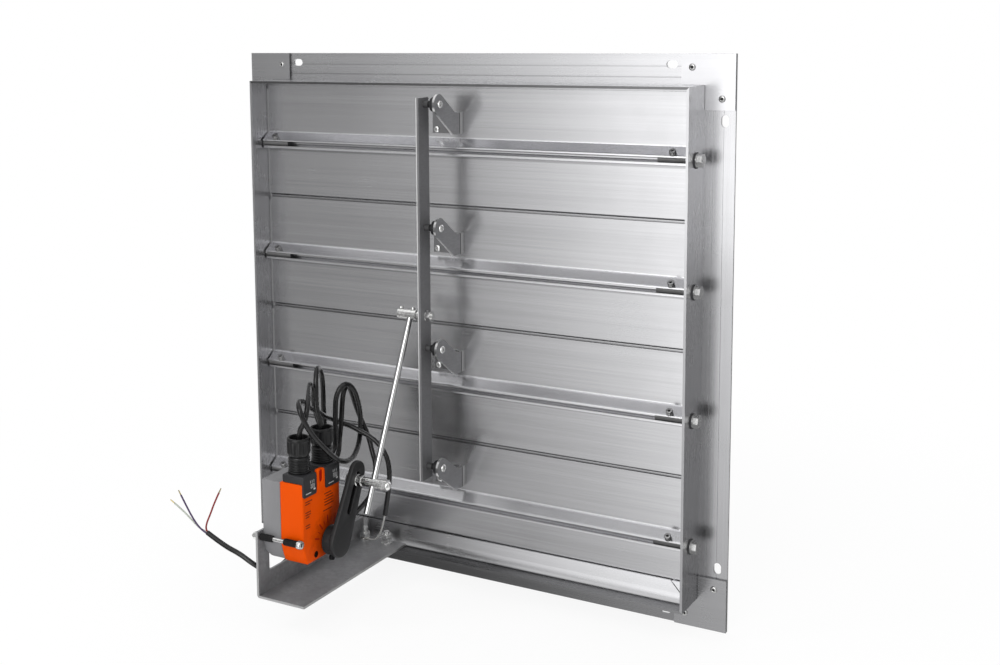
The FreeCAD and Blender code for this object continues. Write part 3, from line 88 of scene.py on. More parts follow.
def length(name, description, default):
    return FloatProperty(name=name, description=description, default=default, unit="LENGTH", precision=4)


def colour(name, description, default):
    return FloatVectorProperty(name=name, description=description, default=default, subtype="COLOR",
                               min=0, max=1)


class ShutterStudio(PropertyGroup):
    """Camera, lamps and floor."""
    lens: FloatProperty(name="Lens", description="Focal length on a 36 mm sensor", default=49.165,
                        unit="CAMERA")
    key_power: FloatProperty(name="Key power", description="Power of the large soft lamp", default=26.0,
                             unit="POWER")
    mirror_gain: FloatProperty(name="Mirror gain", description="Added brightness of the room in mirrors",
                               default=0.08, min=0, max=1, subtype="FACTOR")
    far_level: FloatProperty(name="Dim side", description="Brightness that metal mirrors from the sides",
                             default=0.26, min=0, soft_max=2)
    near_level: FloatProperty(name="Bright side", description="Brightness that metal mirrors from the front",
                              default=2.0, min=0, soft_max=3)
    floor_colour: colour("Floor", "Colour of the pale floor", (0.9, 0.9, 0.9))


class ShutterCables(PropertyGroup):
    """Cables and single wires."""
    cable_radius: length("Cable radius", "Half the thickness of the two black cables", 0.0032)
    wire_radius: length("Wire radius", "Half the thickness of a single wire", 0.0011)
    jacket: colour("Jacket", "Black of the cable jackets", srgb(14, 14, 15))
    red: colour("Red wire", "Colour of the first wire", srgb(130, 30, 30))
    violet: colour("Violet wire", "Colour of the second wire", srgb(60, 40, 80))
    white: colour("White wire", "Colour of the third wire", srgb(170, 175, 165))
    earth: colour("Earth wire", "Colour of the thin wire with the ring terminal", srgb(176, 176, 174))
    copper: colour("Wire tips", "Colour of the bare strands", srgb(176, 160, 104))


class ShutterMetals(PropertyGroup):
    """Sheet metal, extrusions and fasteners."""
    extrusion: colour("Extrusion", "Mill finish of the frame", srgb(200, 200, 202))
    blade: colour("Blade", "Mill finish of the blades", srgb(205, 205, 207))
    plate: colour("Corner plate", "Colour of the corner plates", srgb(196, 196, 198))
    bracket: colour("Bracket", "Zinc coat of the actuator's bracket", srgb(168, 168, 170))
    # The tie bar's face is darkened: painted shade of the face turned from the light.
    bar: colour("Tie bar", "Dark face of the tie bar", srgb(132, 132, 134))
    zinc: colour("Fasteners", "Bright zinc of bolts, nuts and washers", srgb(234, 234, 233))
    rod: colour("Drive rod", "Bright steel of the drive rod", srgb(205, 205, 205))
    brushing: FloatProperty(name="Brushing", description="Strength of the drawn lines", default=0.5,
                            min=0, max=1, subtype="FACTOR")


class ShutterActuator(PropertyGroup):
    """Housing, caps, glands and crank arm."""
    cover: colour("Cover", "Orange of the actuator's cover", srgb(223, 78, 0))
    base: colour("Base", "Grey of the actuator's base", srgb(128, 128, 130))
    cap: colour("Caps", "Dark grey of the terminal caps", srgb(42, 42, 44))
    nylon: colour("Nylon", "Black of the glands and sleeves", srgb(20, 20, 21))
    arm: colour("Crank arm", "Black of the crank arm", srgb(30, 30, 31))
    ticks: IntProperty(name="Scale marks", description="Marks of the angle scale round the hub",
                       default=7, min=2, max=21)
    ribs: IntProperty(name="Gland ribs", description="Grip ribs round each gland nut", default=8,
                      min=6, max=36)


SETTINGS = {
    "shutter_studio": ShutterStudio,
    "shutter_cables": ShutterCables,
    "shutter_metals": ShutterMetals,
    "shutter_actuator": ShutterActuator,
}


# ---------------------------------------------------------------- material nodes

class Flow:
    """A number, colour or vector that leaves a node's socket, ready for sums."""

    def __init__(self, finish, socket):
        self.finish, self.socket = finish, socket

    def sum(self, operation, first, second):
        return self.finish.node("Math", {"operation": operation}, {0: first, 1: second})

    def __add__(self, other):
        return self.sum("ADD", self, other)

    def __radd__(self, other):
        return self.sum("ADD", other, self)

    def __sub__(self, other):
        return self.sum("SUBTRACT", self, other)

    def __rsub__(self, other):
        return self.sum("SUBTRACT", other, self)

    def __mul__(self, other):
        return self.sum("MULTIPLY", self, other)

    def __rmul__(self, other):
        return self.sum("MULTIPLY", other, self)

    def __truediv__(self, other):
        return self.sum("DIVIDE", self, other)

    def __rtruediv__(self, other):
        return self.sum("DIVIDE", other, self)

    def __pow__(self, other):
        return self.sum("POWER", self, other)

    def __gt__(self, other):
        return self.sum("GREATER_THAN", self, other)

    def __lt__(self, other):
        return self.sum("LESS_THAN", self, other)

    def __abs__(self):
        return self.sum("ABSOLUTE", self, 0)


class Finish:
    """The nodes of one material or world."""

    def __init__(self, owner):
        owner.use_nodes = True
        self.owner, self.tree = owner, owner.node_tree
        self.tree.nodes.clear()

    def node(self, kind, settings=None, inputs=None, output=0):
        """Adds a node: its type, its settings, its sockets' values or links, and the socket that it gives."""
        made = self.tree.nodes.new("ShaderNode" + kind)
        for name, value in (settings or {}).items():
            if name == "stops":
                while len(made.color_ramp.elements) < len(value):
                    made.color_ramp.elements.new(0.5)
                for element, (place, level) in zip(made.color_ramp.elements, value):
                    element.position = place
                    element.color = (level, level, level, 1)
            else:
                setattr(made, name, value)
        for name, value in (inputs or {}).items():
            if isinstance(value, Flow):
                self.tree.links.new(value.socket, made.inputs[name])
            elif made.inputs[name].type == "RGBA":
                made.inputs[name].default_value = (*value[:3], 1)
            else:
                made.inputs[name].default_value = value
        return Flow(self, made.outputs[output])

    def place(self, *stretch):
        """Where a point is on its piece, with each axis multiplied by a number of stretch."""
        spot = self.node("TexCoord", output="Object")
        if not stretch:
            return spot
        return self.node("VectorMath", {"operation": "MULTIPLY"}, {0: spot, 1: stretch})

    def part(self, vector, axis):
        """One of a vector's three numbers."""
        return self.node("SeparateXYZ", None, {0: vector}, axis)

    def noise(self, place, scale, detail=3.0, rough=0.55):
        return self.node("TexNoise", None, {"Vector": place, "Scale": scale, "Detail": detail, "Roughness": rough},
                         "Fac")

    def ramp(self, value, low, high, to_low=0.0, to_high=1.0):
        """Carries value from low..high to to_low..to_high, smoothly and without overshoot."""
        return self.node("MapRange", {"interpolation_type": "SMOOTHSTEP"},
                         {"Value": value, "From Min": low, "From Max": high, "To Min": to_low, "To Max": to_high})

    def blend(self, share, first, second):
        """A colour between first and second."""
        return self.node("Mix", {"data_type": "RGBA"}, {0: share, 6: first, 7: second}, 2)

    def bump(self, height, distance, strength=1.0):
        return self.node("Bump", None, {"Height": height, "Distance": distance, "Strength": strength}, "Normal")

    def surface(self, **sockets):
        """Closes a material with one Principled shader, its sockets named with _ for a space."""
        return self.close(self.node("BsdfPrincipled", None,
                                    {key.replace("_", " ").title().replace("Ior", "IOR"): value
                                     for key, value in sockets.items()}))

    def close(self, shader, kind="OutputMaterial"):
        """Sends a shader to the output, and gives the finished material or world."""
        made = self.tree.nodes.new("ShaderNode" + kind)
        self.tree.links.new(shader.socket, made.inputs["Surface"])
        return self.owner


def shade(tint, factor):
    return tuple(min(1.0, channel * factor) for channel in tint[:3])


def drawn_metal(name, tint, along, roughness, lines, relief=1.0, fine=900.0, cloud=0.22, profile=None):
    """Metal drawn or rolled along one axis: long fine lines, slow clouds of tone and faint pits.
    A profile paints light and shade: it gives a tone from 0 to 1 across the drawn section, painted shade below 0.5,
    a painted highlight above it, and the plain tint at 0.5."""
    finish = Finish(bpy.data.materials.new(name))
    hair = finish.noise(finish.place(*[3.0 if axis == along else fine for axis in "XYZ"]), 1.0, 4.0, 0.65)
    broad = finish.noise(finish.place(*[1.2 if axis == along else fine * 0.12 for axis in "XYZ"]), 1.0, 3.0, 0.6)
    clouds = finish.noise(finish.place(), 7.0, 4.0, 0.6)
    pits = finish.noise(finish.place(), 700.0, 2.0, 0.5)
    light = finish.ramp(hair * 0.5 + broad * 0.5, 0.32, 0.68)
    drawn = finish.blend(light, shade(tint, 1 - 0.16 * lines), shade(tint, 1 + 0.09 * lines))
    stained = finish.blend(finish.ramp(clouds, 0.35, 0.7, 0.0, cloud), drawn, shade(tint, 0.72))
    marks_and_painted_light = finish.blend(finish.ramp(pits, 0.68, 0.78, 0.0, 0.35), stained, shade(tint, 0.5))
    if profile:
        # Painted light: the profile blends the colour towards a shaded copy of the tint and towards a lit copy.
        across = profile(finish)
        marks_and_painted_light = finish.blend(finish.ramp(0.5 - across, 0.0, 0.5), marks_and_painted_light, shade(tint, 0.2))
        marks_and_painted_light = finish.blend(finish.ramp(across, 0.5, 1.0), marks_and_painted_light, shade(tint, 1.6))
    rough = roughness + 0.1 * lines * (hair - 0.5) + 0.12 * (clouds - 0.5)
    return finish.surface(base_color=marks_and_painted_light, metallic=1.0, roughness=rough,
                          normal=finish.bump(hair * 0.7 + broad * 0.3, 0.00002 * relief, 0.3 * lines))


def zinc_metal(name, tint, roughness, grain=260.0, cloud=0.3, metallic=1.0, special=None, special_tint=None):
    """Zinc-coated steel: small flecks of slightly different brightness over slow clouds.
    Where special gives 1, the part has special_tint instead."""
    finish = Finish(bpy.data.materials.new(name))
    flecks = finish.node("TexVoronoi", None, {"Vector": finish.place(), "Scale": grain}, "Color")
    fleck = finish.node("SeparateColor", None, {0: flecks})
    clouds = finish.noise(finish.place(), 22.0, 4.0, 0.6)
    dust = finish.noise(finish.place(), 900.0, 2.0)
    base = finish.blend(fleck, shade(tint, 0.86), shade(tint, 1.08))
    worn = finish.blend(finish.ramp(clouds, 0.35, 0.7, 0.0, cloud), base, shade(tint, 0.6))
    if special:
        worn = finish.blend(special(finish), worn, special_tint)
    rough = roughness + 0.06 * (fleck - 0.5) + 0.16 * (clouds - 0.5)
    return finish.surface(base_color=worn, metallic=metallic, roughness=rough,
                          normal=finish.bump(dust, 0.00001, 0.25))


def span(finish, axis, low, high):
    """1 where a point's place along an axis lies between low and high, else 0."""
    spot = finish.part(finish.place(), axis)
    return (spot > low) * (spot < high)


def sheared_plate(name, tint, lit_edge_tint, roughness=0.36, flat_axes="X", metallic=1.0, bend=None, bright=None):
    """Sheet part with a dull rolled face, whose sheared and bent edges are brighter: partly the shinier cut metal,
    partly a painted highlight.
    Bend is the Y (in m) of a bend line with a painted highlight and a painted shade line before it, where faces
    across Y also get painted shade; bright is the mask outside which edges look like the face."""
    finish = Finish(bpy.data.materials.new(name))
    normal = finish.node("TexCoord", output="Normal")
    facing = finish.part(normal, flat_axes[0])
    face = finish.ramp(abs(facing), 0.8, 0.97)
    for axis in flat_axes[1:]:
        facing = finish.part(normal, axis)
        face = finish.node("Math", {"operation": "MAXIMUM"}, {0: face, 1: finish.ramp(abs(facing), 0.93, 0.99)})
    grain = finish.noise(finish.place(160, 160, 900), 1.0, 4.0, 0.6)
    clouds = finish.noise(finish.place(), 24.0, 4.0, 0.6)
    rolled = finish.blend(finish.ramp(grain, 0.3, 0.7), shade(tint, 0.88), shade(tint, 1.1))
    rolled = finish.blend(finish.ramp(clouds, 0.4, 0.7, 0.0, 0.3), rolled, shade(tint, 0.7))
    # Painted light at the bend: a painted shade line, a painted highlight on the bend, and painted shadow on the
    # faces across Y.
    if bend:
        rolled = finish.blend(span(finish, "Y", bend - 0.0021, bend + 0.0001), rolled, shade(tint, 0.35))
        rolled = finish.blend(span(finish, "Y", bend, 0.0), rolled, shade(lit_edge_tint, 0.9))
        foot = finish.ramp(abs(finish.part(normal, "Y")), 0.93, 0.99)
        rolled = finish.blend(foot, rolled, shade(tint, 0.5))
    if bright:
        face = 1 - (1 - face) * bright(finish)
    # Edges take the lighter edge tint: a painted highlight, partly the shinier cut metal.
    return finish.surface(base_color=finish.blend(face, lit_edge_tint, rolled), metallic=metallic,
                          roughness=roughness + 0.12 * (grain - 0.5) - 0.08 * (1 - face),
                          normal=finish.bump(grain, 0.00003, 0.3))


def moulded_plastic(name, tint, roughness, grain=1500.0, depth=0.00005, wear=0.2, coat=0.0, scuff=None,
                    shine=0.3, shade_centre=None):
    """Moulded plastic: a fine spark-eroded grain, faint flow marks and dull, paler scuffs.
    A shade centre names a point (Y, Z) in mm round which the plastic is darkened in patches, as painted shade."""
    finish = Finish(bpy.data.materials.new(name))
    fine = finish.noise(finish.place(), grain, 2.0, 0.6)
    flow = finish.noise(finish.place(30, 30, 9), 1.0, 3.0, 0.5)
    scratch = finish.noise(finish.place(60, 700, 260), 1.0, 2.0, 0.7)
    worn = finish.ramp(scratch, 0.6, 0.75, 0.0, wear)
    base = finish.blend(finish.ramp(flow, 0.35, 0.65), shade(tint, 0.93), shade(tint, 1.05))
    base = finish.blend(worn, base, scuff or tuple(0.75 * channel + 0.06 for channel in tint[:3]))
    # Painted shade: the plastic darkens in patches round the given point.
    if shade_centre:
        spot = finish.node("VectorMath", {"operation": "SUBTRACT"}, {0: finish.place(), 1: mm(0, *shade_centre)})
        other = finish.part(spot, "Y")
        up = finish.part(spot, "Z")
        patches = finish.noise(finish.place(), 160.0, 4.0, 0.7)
        near = finish.ramp((other * other + up * up) ** 0.5 + 0.03 * (patches - 0.5), 0.018, 0.046, 0.75, 0.0)
        base = finish.blend(near, base, shade(tint, 0.42))
    rough = roughness + 0.14 * (flow - 0.5) + 0.2 * worn
    return finish.surface(base_color=base, roughness=rough, coat_weight=coat, coat_roughness=0.3,
                          specular_ior_level=shine, normal=finish.bump(fine, depth, 0.5))


def cable_jacket(name, tint, roughness=0.24, soft=0.35):
    """Black vinyl jacket: soft sheen, dusty patches and fine cross marks."""
    finish = Finish(bpy.data.materials.new(name))
    dust = finish.noise(finish.place(), 60.0, 4.0, 0.65)
    fine = finish.noise(finish.place(), 1100.0, 2.0)
    base = finish.blend(finish.ramp(dust, 0.42, 0.72, 0.0, soft), tint, tuple(0.7 * c + 0.035 for c in tint[:3]))
    crease = finish.noise(finish.place(), 210.0, 3.0, 0.6)
    return finish.surface(base_color=base, roughness=roughness + 0.25 * (dust - 0.45), specular_ior_level=0.4,
                          normal=finish.bump(0.8 * crease + 0.2 * fine, 0.0004, 0.5))


# ---------------------------------------------------------------- piece making

def keep(obj, body, finish, slot, hides=()):
    """Puts a new piece on its body, gives it its finish, and hides the nodes it stands for. The slot is not used.
    """
    bpy.context.scene.collection.objects.link(obj)
    obj.data.materials.append(finish)
    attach(obj, body)
    if hides:
        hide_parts(*hides)
    return obj


def dress(finish, *names):
    """Gives CAD nodes a finish."""
    for name in names:
        if name not in NODES:
            raise RuntimeError("no node " + name)
        for place in NODES[name].material_slots:
            place.material = finish


def mesh_piece(name, made, crease=35.0):
    """An object from a bmesh, smooth up to the crease angle."""
    bmesh.ops.recalc_face_normals(made, faces=made.faces)
    mesh = bpy.data.meshes.new(name)
    made.to_mesh(mesh)
    made.free()
    mesh.polygons.foreach_set("use_smooth", [True] * len(mesh.polygons))
    mesh.set_sharp_from_angle(angle=math.radians(crease))
    return bpy.data.objects.new(name, mesh)


def loft(made, rows, closed=False):
    """Adds faces between rings of vertices. A closed loft joins the last to the first, an open one has ends."""
    for below, above in zip(rows, rows[1:] + rows[:1] if closed else rows[1:]):
        for step in range(len(below)):
            after = (step + 1) % len(below)
            made.faces.new((below[step], below[after], above[after], above[step]))
    if not closed:
        made.faces.new(rows[0])
        made.faces.new(rows[-1])


def spoke(side, other, turn):
    """A direction at an angle from side towards other."""
    return side * math.cos(turn) + other * math.sin(turn)


def turned(made, origin, axis, rings, around=48, lobes=0, closed=False):
    """Adds a turned body to a bmesh. A ring is its radius, its place along the axis and, where it has grip
    lobes, their depth, in millimetres."""
    axis = Vector(axis).normalized()
    side = axis.orthogonal().normalized()
    other = axis.cross(side)
    rows = []
    for ring in rings:
        radius, along, depth = [number * MM for number in (*ring, 0)[:3]]
        row = []
        for step in range(around):
            turn = math.tau * step / around
            wave = 0.5 + 0.5 * math.cos(turn * lobes) if lobes else 0.0
            reach = radius - depth * (1 - wave) ** 2
            row.append(made.verts.new(Vector(origin) + axis * along + spoke(side, other, turn) * reach))
        rows.append(row)
    loft(made, rows, closed)


def rounded_block(made, low, high, radius, segments=3):
    """Adds a block with rounded edges to a bmesh."""
    low, high = Vector(low), Vector(high)
    verts = bmesh.ops.create_cube(made, size=1.0)["verts"]
    for vert in verts:
        vert.co = Vector([low[i] + (vert.co[i] + 0.5) * (high[i] - low[i]) for i in range(3)])
    edges = {edge for vert in verts for edge in vert.link_edges}
    bmesh.ops.bevel(made, geom=list(edges), offset=radius, segments=segments, profile=0.5, affect="EDGES")


def sheet_piece(name, outlines, low, high, edge):
    """A plate across X whose outlines are (Y, Z) in millimetres, holes included, with rounded edges."""
    data = bpy.data.curves.new(name, "CURVE")
    data.dimensions = "2D"
    data.fill_mode = "BOTH"
    for outline in outlines:
        line = data.splines.new("POLY")
        line.points.add(len(outline) - 1)
        for point, (y, z) in zip(line.points, outline):
            point.co = (y * MM, z * MM, 0, 1)
        line.use_cyclic_u = True
    data.extrude = (high - low) * MM / 2 - edge * MM
    data.bevel_depth = edge * MM
    data.bevel_resolution = 3
    data.offset = -edge * MM
    drawn = bpy.data.objects.new(name, data)
    mesh = bpy.data.meshes.new_from_object(drawn)
    bpy.data.objects.remove(drawn)
    bpy.data.curves.remove(data)
    mesh.name = name
    mesh.transform(Matrix(((0, 0, 1, (low + high) * MM / 2), (1, 0, 0, 0), (0, 1, 0, 0), (0, 0, 0, 1))))
    made = bmesh.new()
    made.from_mesh(mesh)
    bpy.data.meshes.remove(mesh)
    bmesh.ops.remove_doubles(made, verts=made.verts, dist=1e-6)
    return made


def arc(centre, radius, start, end, steps):
    """Points of an arc in (Y, Z), angles in degrees from +Y towards +Z."""
    return [(centre[0] + radius * math.cos(math.radians(start + (end - start) * k / steps)),
             centre[1] + radius * math.sin(math.radians(start + (end - start) * k / steps)))
            for k in range(steps + 1)]


def rounded_rectangle(low, high, radii):
    """(Y, Z) outline; radii are for the corners from lower left, anticlockwise."""
    (y0, z0), (y1, z1) = low, high
    outline = []
    for (y, z, sy, sz), radius, turn in zip(((y0, z0, 1, 1), (y1, z0, -1, 1), (y1, z1, -1, -1), (y0, z1, 1, -1)),
                                            radii, (180, 270, 0, 90)):
        if radius:
            outline += arc((y + sy * radius, z + sz * radius), radius, turn, turn + 90, 6)
        else:
            outline.append((y, z))
    return outline


def link_outline(start, start_radius, end, end_radius, steps):
    """(Y, Z) outline that wraps two circles of different radius."""
    dy, dz = end[0] - start[0], end[1] - start[1]
    base = math.degrees(math.atan2(dz, dy))
    lean = math.degrees(math.acos((start_radius - end_radius) / math.hypot(dy, dz)))
    return (arc(start, start_radius, base + lean, base + 360 - lean, steps)
            + arc(end, end_radius, base - lean, base + lean, steps))


# ---------------------------------------------------------------- cables

CABLE_NEAR_ROUTE = [
    (-105.5, -241, -124), (-105.5, -241, -98), (-97, -240, -87), (-97, -233, -68), (-107, -216, -57),
    (-121, -194, -51), (-130, -176, -66), (-135, -168, -83), (-133, -166, -100), (-125, -168, -115),
    (-119, -168, -130), (-119, -168, -145), (-119, -161.5, -151.5), (-119, -152.5, -151.5), (-119, -146, -145),
    (-118, -146, -130), (-118, -146, -113), (-117, -147, -96), (-115, -148, -79), (-111, -142, -66),
    (-107, -131, -65), (-106, -119, -77), (-108, -108, -96), (-110, -101, -114), (-111, -100, -133),
    (-105, -113, -148), (-94, -140, -155), (-86, -168, -153), (-83, -190, -145), (-83, -207, -133),
    (-86, -221, -118), (-90, -234, -103), (-92, -246, -85), (-95, -252, -69), (-104, -242, -61),
    (-112, -221, -67), (-119, -203, -78), (-122, -187, -87), (-122, -172, -95), (-127, -155, -105),
    (-130, -136, -113), (-128, -120, -122), (-118, -113, -126), (-106, -110, -132), (-95, -107, -137),
    (-82, -105, -145), (-69, -105, -159), (-64, -105, -180), (-70, -100, -211), (-79, -95, -243)]
CABLE_SUPPLY_ROUTE = [
    (-105.5, -193.5, -124), (-105.5, -193.5, -99), (-112, -194, -86), (-113, -193, -64), (-115, -190, -45),
    (-121, -178, -35), (-126, -163, -44), (-132, -151, -66), (-137, -144, -92), (-138, -142, -118),
    (-133, -146, -140), (-130, -146, -158), (-129, -141, -165), (-127, -133, -165), (-126, -128, -158),
    (-124, -129, -141), (-120, -131, -123), (-117, -133, -105), (-115, -134, -88), (-115, -131, -77),
    (-116, -123, -71), (-118, -114, -74), (-120, -105, -86), (-121, -96, -103), (-117, -91, -121),
    (-110, -90, -135), (-103, -91, -150), (-97, -94, -165), (-89, -99, -176), (-86, -106, -195),
    (-90, -109, -214), (-103, -113, -232), (-121, -119, -248), (-139, -127, -259), (-153, -138, -267),
    (-162, -154, -275), (-166, -176, -284), (-167, -200, -291), (-168, -219, -292), (-174, -231, -286),
    (-184, -237, -278.5), (-201, -239, -269), (-226, -239, -263), (-252, -239, -251),
]
WIRE_ROUTES = {
    "red": [(-251.7, -239, -249.5), (-254.8, -239, -247.6), (-253, -239, -238.5), (-246, -239, -225),
            (-240, -239, -211), (-231.5, -239, -195.5)],
    "violet": [(-252.6, -240.3, -251.5), (-258, -240.8, -249), (-266, -240.5, -244), (-275, -240, -235),
               (-284, -239.5, -223), (-293.7, -239, -209)],
    "white": [(-252.6, -237.7, -251.5), (-259, -237.2, -250.3), (-267, -237, -248), (-279, -237.2, -239.5),
              (-291, -238, -230), (-305, -239, -221.5)],
}
EARTH_ROUTE = [(-79.4, -94.8, -244.4), (-85, -92, -262), (-95, -86, -279), (-110, -76, -290), (-126, -64.5, -294)]
EARTH_LUG = (-141, -48.5, -300.2)


def cord_curve(name, route, radius):
    """A round cord on one smooth line through a route in millimetres."""
    data = bpy.data.curves.new(name, "CURVE")
    data.dimensions = "3D"
    line = data.splines.new("NURBS")
    line.points.add(len(route) - 1)
    for point, place in zip(line.points, route):
        point.co = (*mm(*place), 1)
    line.order_u = 3
    line.use_endpoint_u = True
    line.resolution_u = 8
    data.bevel_depth = radius
    data.bevel_resolution = 5
    data.use_fill_caps = True
    return bpy.data.objects.new(name, data)


def make_cables(cables):
    jacket = cable_jacket("cable_jacket", cables.jacket)
    near = keep(cord_curve("near_cable", CABLE_NEAR_ROUTE, cables.cable_radius), "frame", jacket,
                slot="cable_black", hides=["cable_near"])
    mm(*CABLE_NEAR_ROUTE[0])
    supply = keep(cord_curve("supply_cable", CABLE_SUPPLY_ROUTE, cables.cable_radius), "frame", jacket,
                  slot="cable_black", hides=["cable_supply"])
    mm(*CABLE_SUPPLY_ROUTE[0])


def strand_tip(name, start, heading, radius, long):
    """Bare strands twisted to a tip: six round a seventh in the middle."""
    made = bmesh.new()
    way = Vector(heading).normalized()
    side = way.orthogonal().normalized()
    other = way.cross(side)
    strand = radius * 0.42
    for number in range(7):
        reach = 0.0 if number == 6 else radius * 0.56
        rows = []
        for share in [step / 8 for step in range(9)]:
            pinch = 1 - 0.25 * share
            aside = spoke(side, other, math.tau * number / 6 + 1.9 * share) * reach * pinch
            centre = Vector(start) + way * (long * share) + aside
            rows.append([made.verts.new(centre + spoke(side, other, math.tau * step / 7) * strand * pinch)
                         for step in range(7)])
        loft(made, rows)
    return mesh_piece(name, made)


def make_wires(cables):
    copper = zinc_metal("copper_strands", cables.copper, roughness=0.35, grain=900.0)
    radius = cables.wire_radius
    for name, route in WIRE_ROUTES.items():
        skin = cable_jacket("wire_skin_" + name, getattr(cables, name), roughness=0.35, soft=0.1)
        end, before = mm(*route[-1]), mm(*route[-2])
        tip = keep(strand_tip("wire_tip_" + name, end, end - before, radius * 0.8, 0.007), "frame", copper,
                   slot="copper_tip")
        wire = keep(cord_curve("single_wire_" + name, route, radius), "frame", skin, slot="wire_" + name,
                    hides=["wire_" + name])
        mm(*route[0])
    lug = keep(ring_lug("earth_lug", mm(*EARTH_ROUTE[-1])), "frame",
               zinc_metal("tinned_lug", srgb(214, 212, 206), roughness=0.24, grain=500.0),
               slot="copper_tip", hides=["wire_tips"])
    skin = cable_jacket("wire_skin_earth", cables.earth, roughness=0.35, soft=0.1)
    earth = keep(cord_curve("thin_earth_wire", EARTH_ROUTE, radius), "frame", skin, slot="wire_white",
                 hides=["earth_wire"])
    mm(*EARTH_ROUTE[0])


def ring_lug(name, start):
    """Crimped ring terminal: a barrel with two crimp dents, a round neck that tapers to the eye, and an eye round
    the bolt.
    """
    made = bmesh.new()
    centre = mm(*EARTH_LUG)
    way = centre + mm(5.5, -6.0, 0) - start
    long = way.length / MM
    way.normalize()
    rings = [(1.3, 0), (1.9, 0), (2.0, 0.4)]
    for share in (0.22, 0.34):
        rings += [(2.0, long * (share - 0.05)), (1.5, long * share), (2.0, long * (share + 0.05))]
    rings += [(2.0, long * 0.55), (1.4, long * 0.75), (0.8, long * 0.98)]
    turned(made, start + way * MM, way, rings, around=24)
    inner, outer, half = 4.3, 6.2, 0.7
    turned(made, centre, (0, 0, 1), [(inner, -half), (outer - 0.2, -half), (outer, -half * 0.6),
                                     (outer, half * 0.6), (outer - 0.2, half), (inner, half)],
           around=40, closed=True)
    return mesh_piece(name, made)


# ---------------------------------------------------------------- frame and blades

FRAME_EDGE, RIVET_FAR, RIVET_NEAR = 343.8, 51.5, 15.5
PLATE_FRONT = -6.0
FRAME_REACH = 0.36
WALL_SHARE = 0.8466
GROOVE_SHARES = (0.8778, 0.9134)


def frame_painted_light(axis, low, near=0.5, flange=0.5, groove=1.0, fade=0.0, dull=0.0, front=0.0):
    """Painted light across a frame member, from the middle of the opening to FRAME_REACH (in m): tones under 0.5
    paint shade, tones over 0.5 paint highlights.
    Near is the painted tone from low (in m) to the wall, flange the painted tone beyond it, and groove is how
    bright its two drawn lines are beside it. Fade is how much painted shade darkens both towards the left end, dull
    how much painted shade darkens the member below its top, and front how much painted shade darkens its front
    edge. The side that faces the building keeps its plain tint."""
    def tone(finish):
        reach = abs(finish.part(finish.place(), axis))
        side, depth, height = [finish.part(finish.place(), letter) for letter in "XYZ"]
        stops = [(0.0, 0.5), (low / FRAME_REACH - 0.0005, 0.5), (low / FRAME_REACH, near), (WALL_SHARE, near),
                 (WALL_SHARE + 0.0005, flange)]
        for share in GROOVE_SHARES:
            stops += [(share, flange), (share + 0.0008, flange * groove), (share + 0.0036, flange * groove),
                      (share + 0.0044, flange)]
        across = finish.node("ValToRGB", {"stops": stops + [(1.0, flange)]}, {0: reach / FRAME_REACH})
        # Painted shade: darker towards the left, below the top and on the front edge.
        across -= finish.ramp(side, -0.32, 0.3, fade, 0.0) * finish.ramp(reach, low - 0.0005, low)
        across -= finish.ramp(height, 0.22, 0.02, 0.0, dull) + finish.ramp(depth, -0.0574, -0.0576, 0.0, front)
        return 0.5 + (across - 0.5) * finish.ramp(depth, -0.0014, -0.0016)
    return tone


def plate_painted_light(finish):
    """Painted light on the corner plates: a painted highlight at the top right, and painted shade at the bottom
    right and on their cut edges.
    """
    place = finish.place()
    right = finish.ramp(finish.part(place, "X"), -0.1, 0.1)
    height = finish.part(place, "Z")
    flat = abs(finish.part(finish.node("TexCoord", output="Normal"), "Y"))
    tone = 0.5 + right * (finish.ramp(height, 0.0, 0.2, 0.0, 0.16) - finish.ramp(height, 0.0, -0.2, 0.0, 0.24))
    return tone - finish.ramp(flat, 0.6, 0.3, 0.0, 0.4)


def make_frame(metals):
    # Painted light on each member: the top's flange painted brighter with painted shade on its front edge, the
    # bottom's sill and flange painted with shade that deepens to the left, the right member painted darker below
    # its top.
    painted_tones = {"top": ("X", frame_painted_light("Z", 0.29, flange=0.6, groove=0.4, front=0.5)),
             "bottom": ("X", frame_painted_light("Z", 0.262, near=0.4, flange=0.2, groove=0.5, fade=0.26)),
             "left": ("Z", frame_painted_light("X", 0.29)),
             "right": ("Z", frame_painted_light("X", 0.29, dull=0.2))}
    for name, (along, tone) in painted_tones.items():
        dress(drawn_metal("drawn_frame_" + name, metals.extrusion, along, roughness=0.27, lines=metals.brushing,
                          relief=0.12, profile=tone), "frame_" + name)
    dress(drawn_metal("corner_plate_metal", metals.plate, "X", roughness=0.28, lines=0.3, relief=0.2,
                      profile=plate_painted_light), "corner_plates")
    dress(moulded_plastic("bush_nylon", srgb(58, 58, 60), roughness=0.5), "axle_bushes")
    steel = zinc_metal("rivet_metal", shade(metals.zinc, 0.6), roughness=0.3, grain=600.0)
    dark = zinc_metal("rivet_core", srgb(58, 58, 58), roughness=0.5, grain=900.0)
    heads, cores = bmesh.new(), bmesh.new()
    for side in (-1, 1):
        for end in (-1, 1):
            for along, up in ((RIVET_FAR, RIVET_NEAR), (RIVET_NEAR, RIVET_FAR)):
                spot = mm(side * (FRAME_EDGE - along), PLATE_FRONT, end * (FRAME_EDGE - up))
                turned(heads, spot, (0, -1, 0), [(2.2, -1), (4.0, -0.1), (4.15, 0.15), (3.95, 0.8), (3.2, 1.45),
                                                 (2.2, 1.62), (1.75, 1.4), (1.55, 0.5)], around=28)
                turned(cores, spot, (0, -1, 0), [(1.5, 0.45), (1.5, 0.8), (0.9, 1.15), (0.3, 1.2)], around=16)
    keep(mesh_piece("corner_rivet_heads", heads), "frame", steel, slot="rivet_metal", hides=["corner_rivets"])
    keep(mesh_piece("corner_rivet_cores", cores), "frame", dark, slot="rivet_metal")


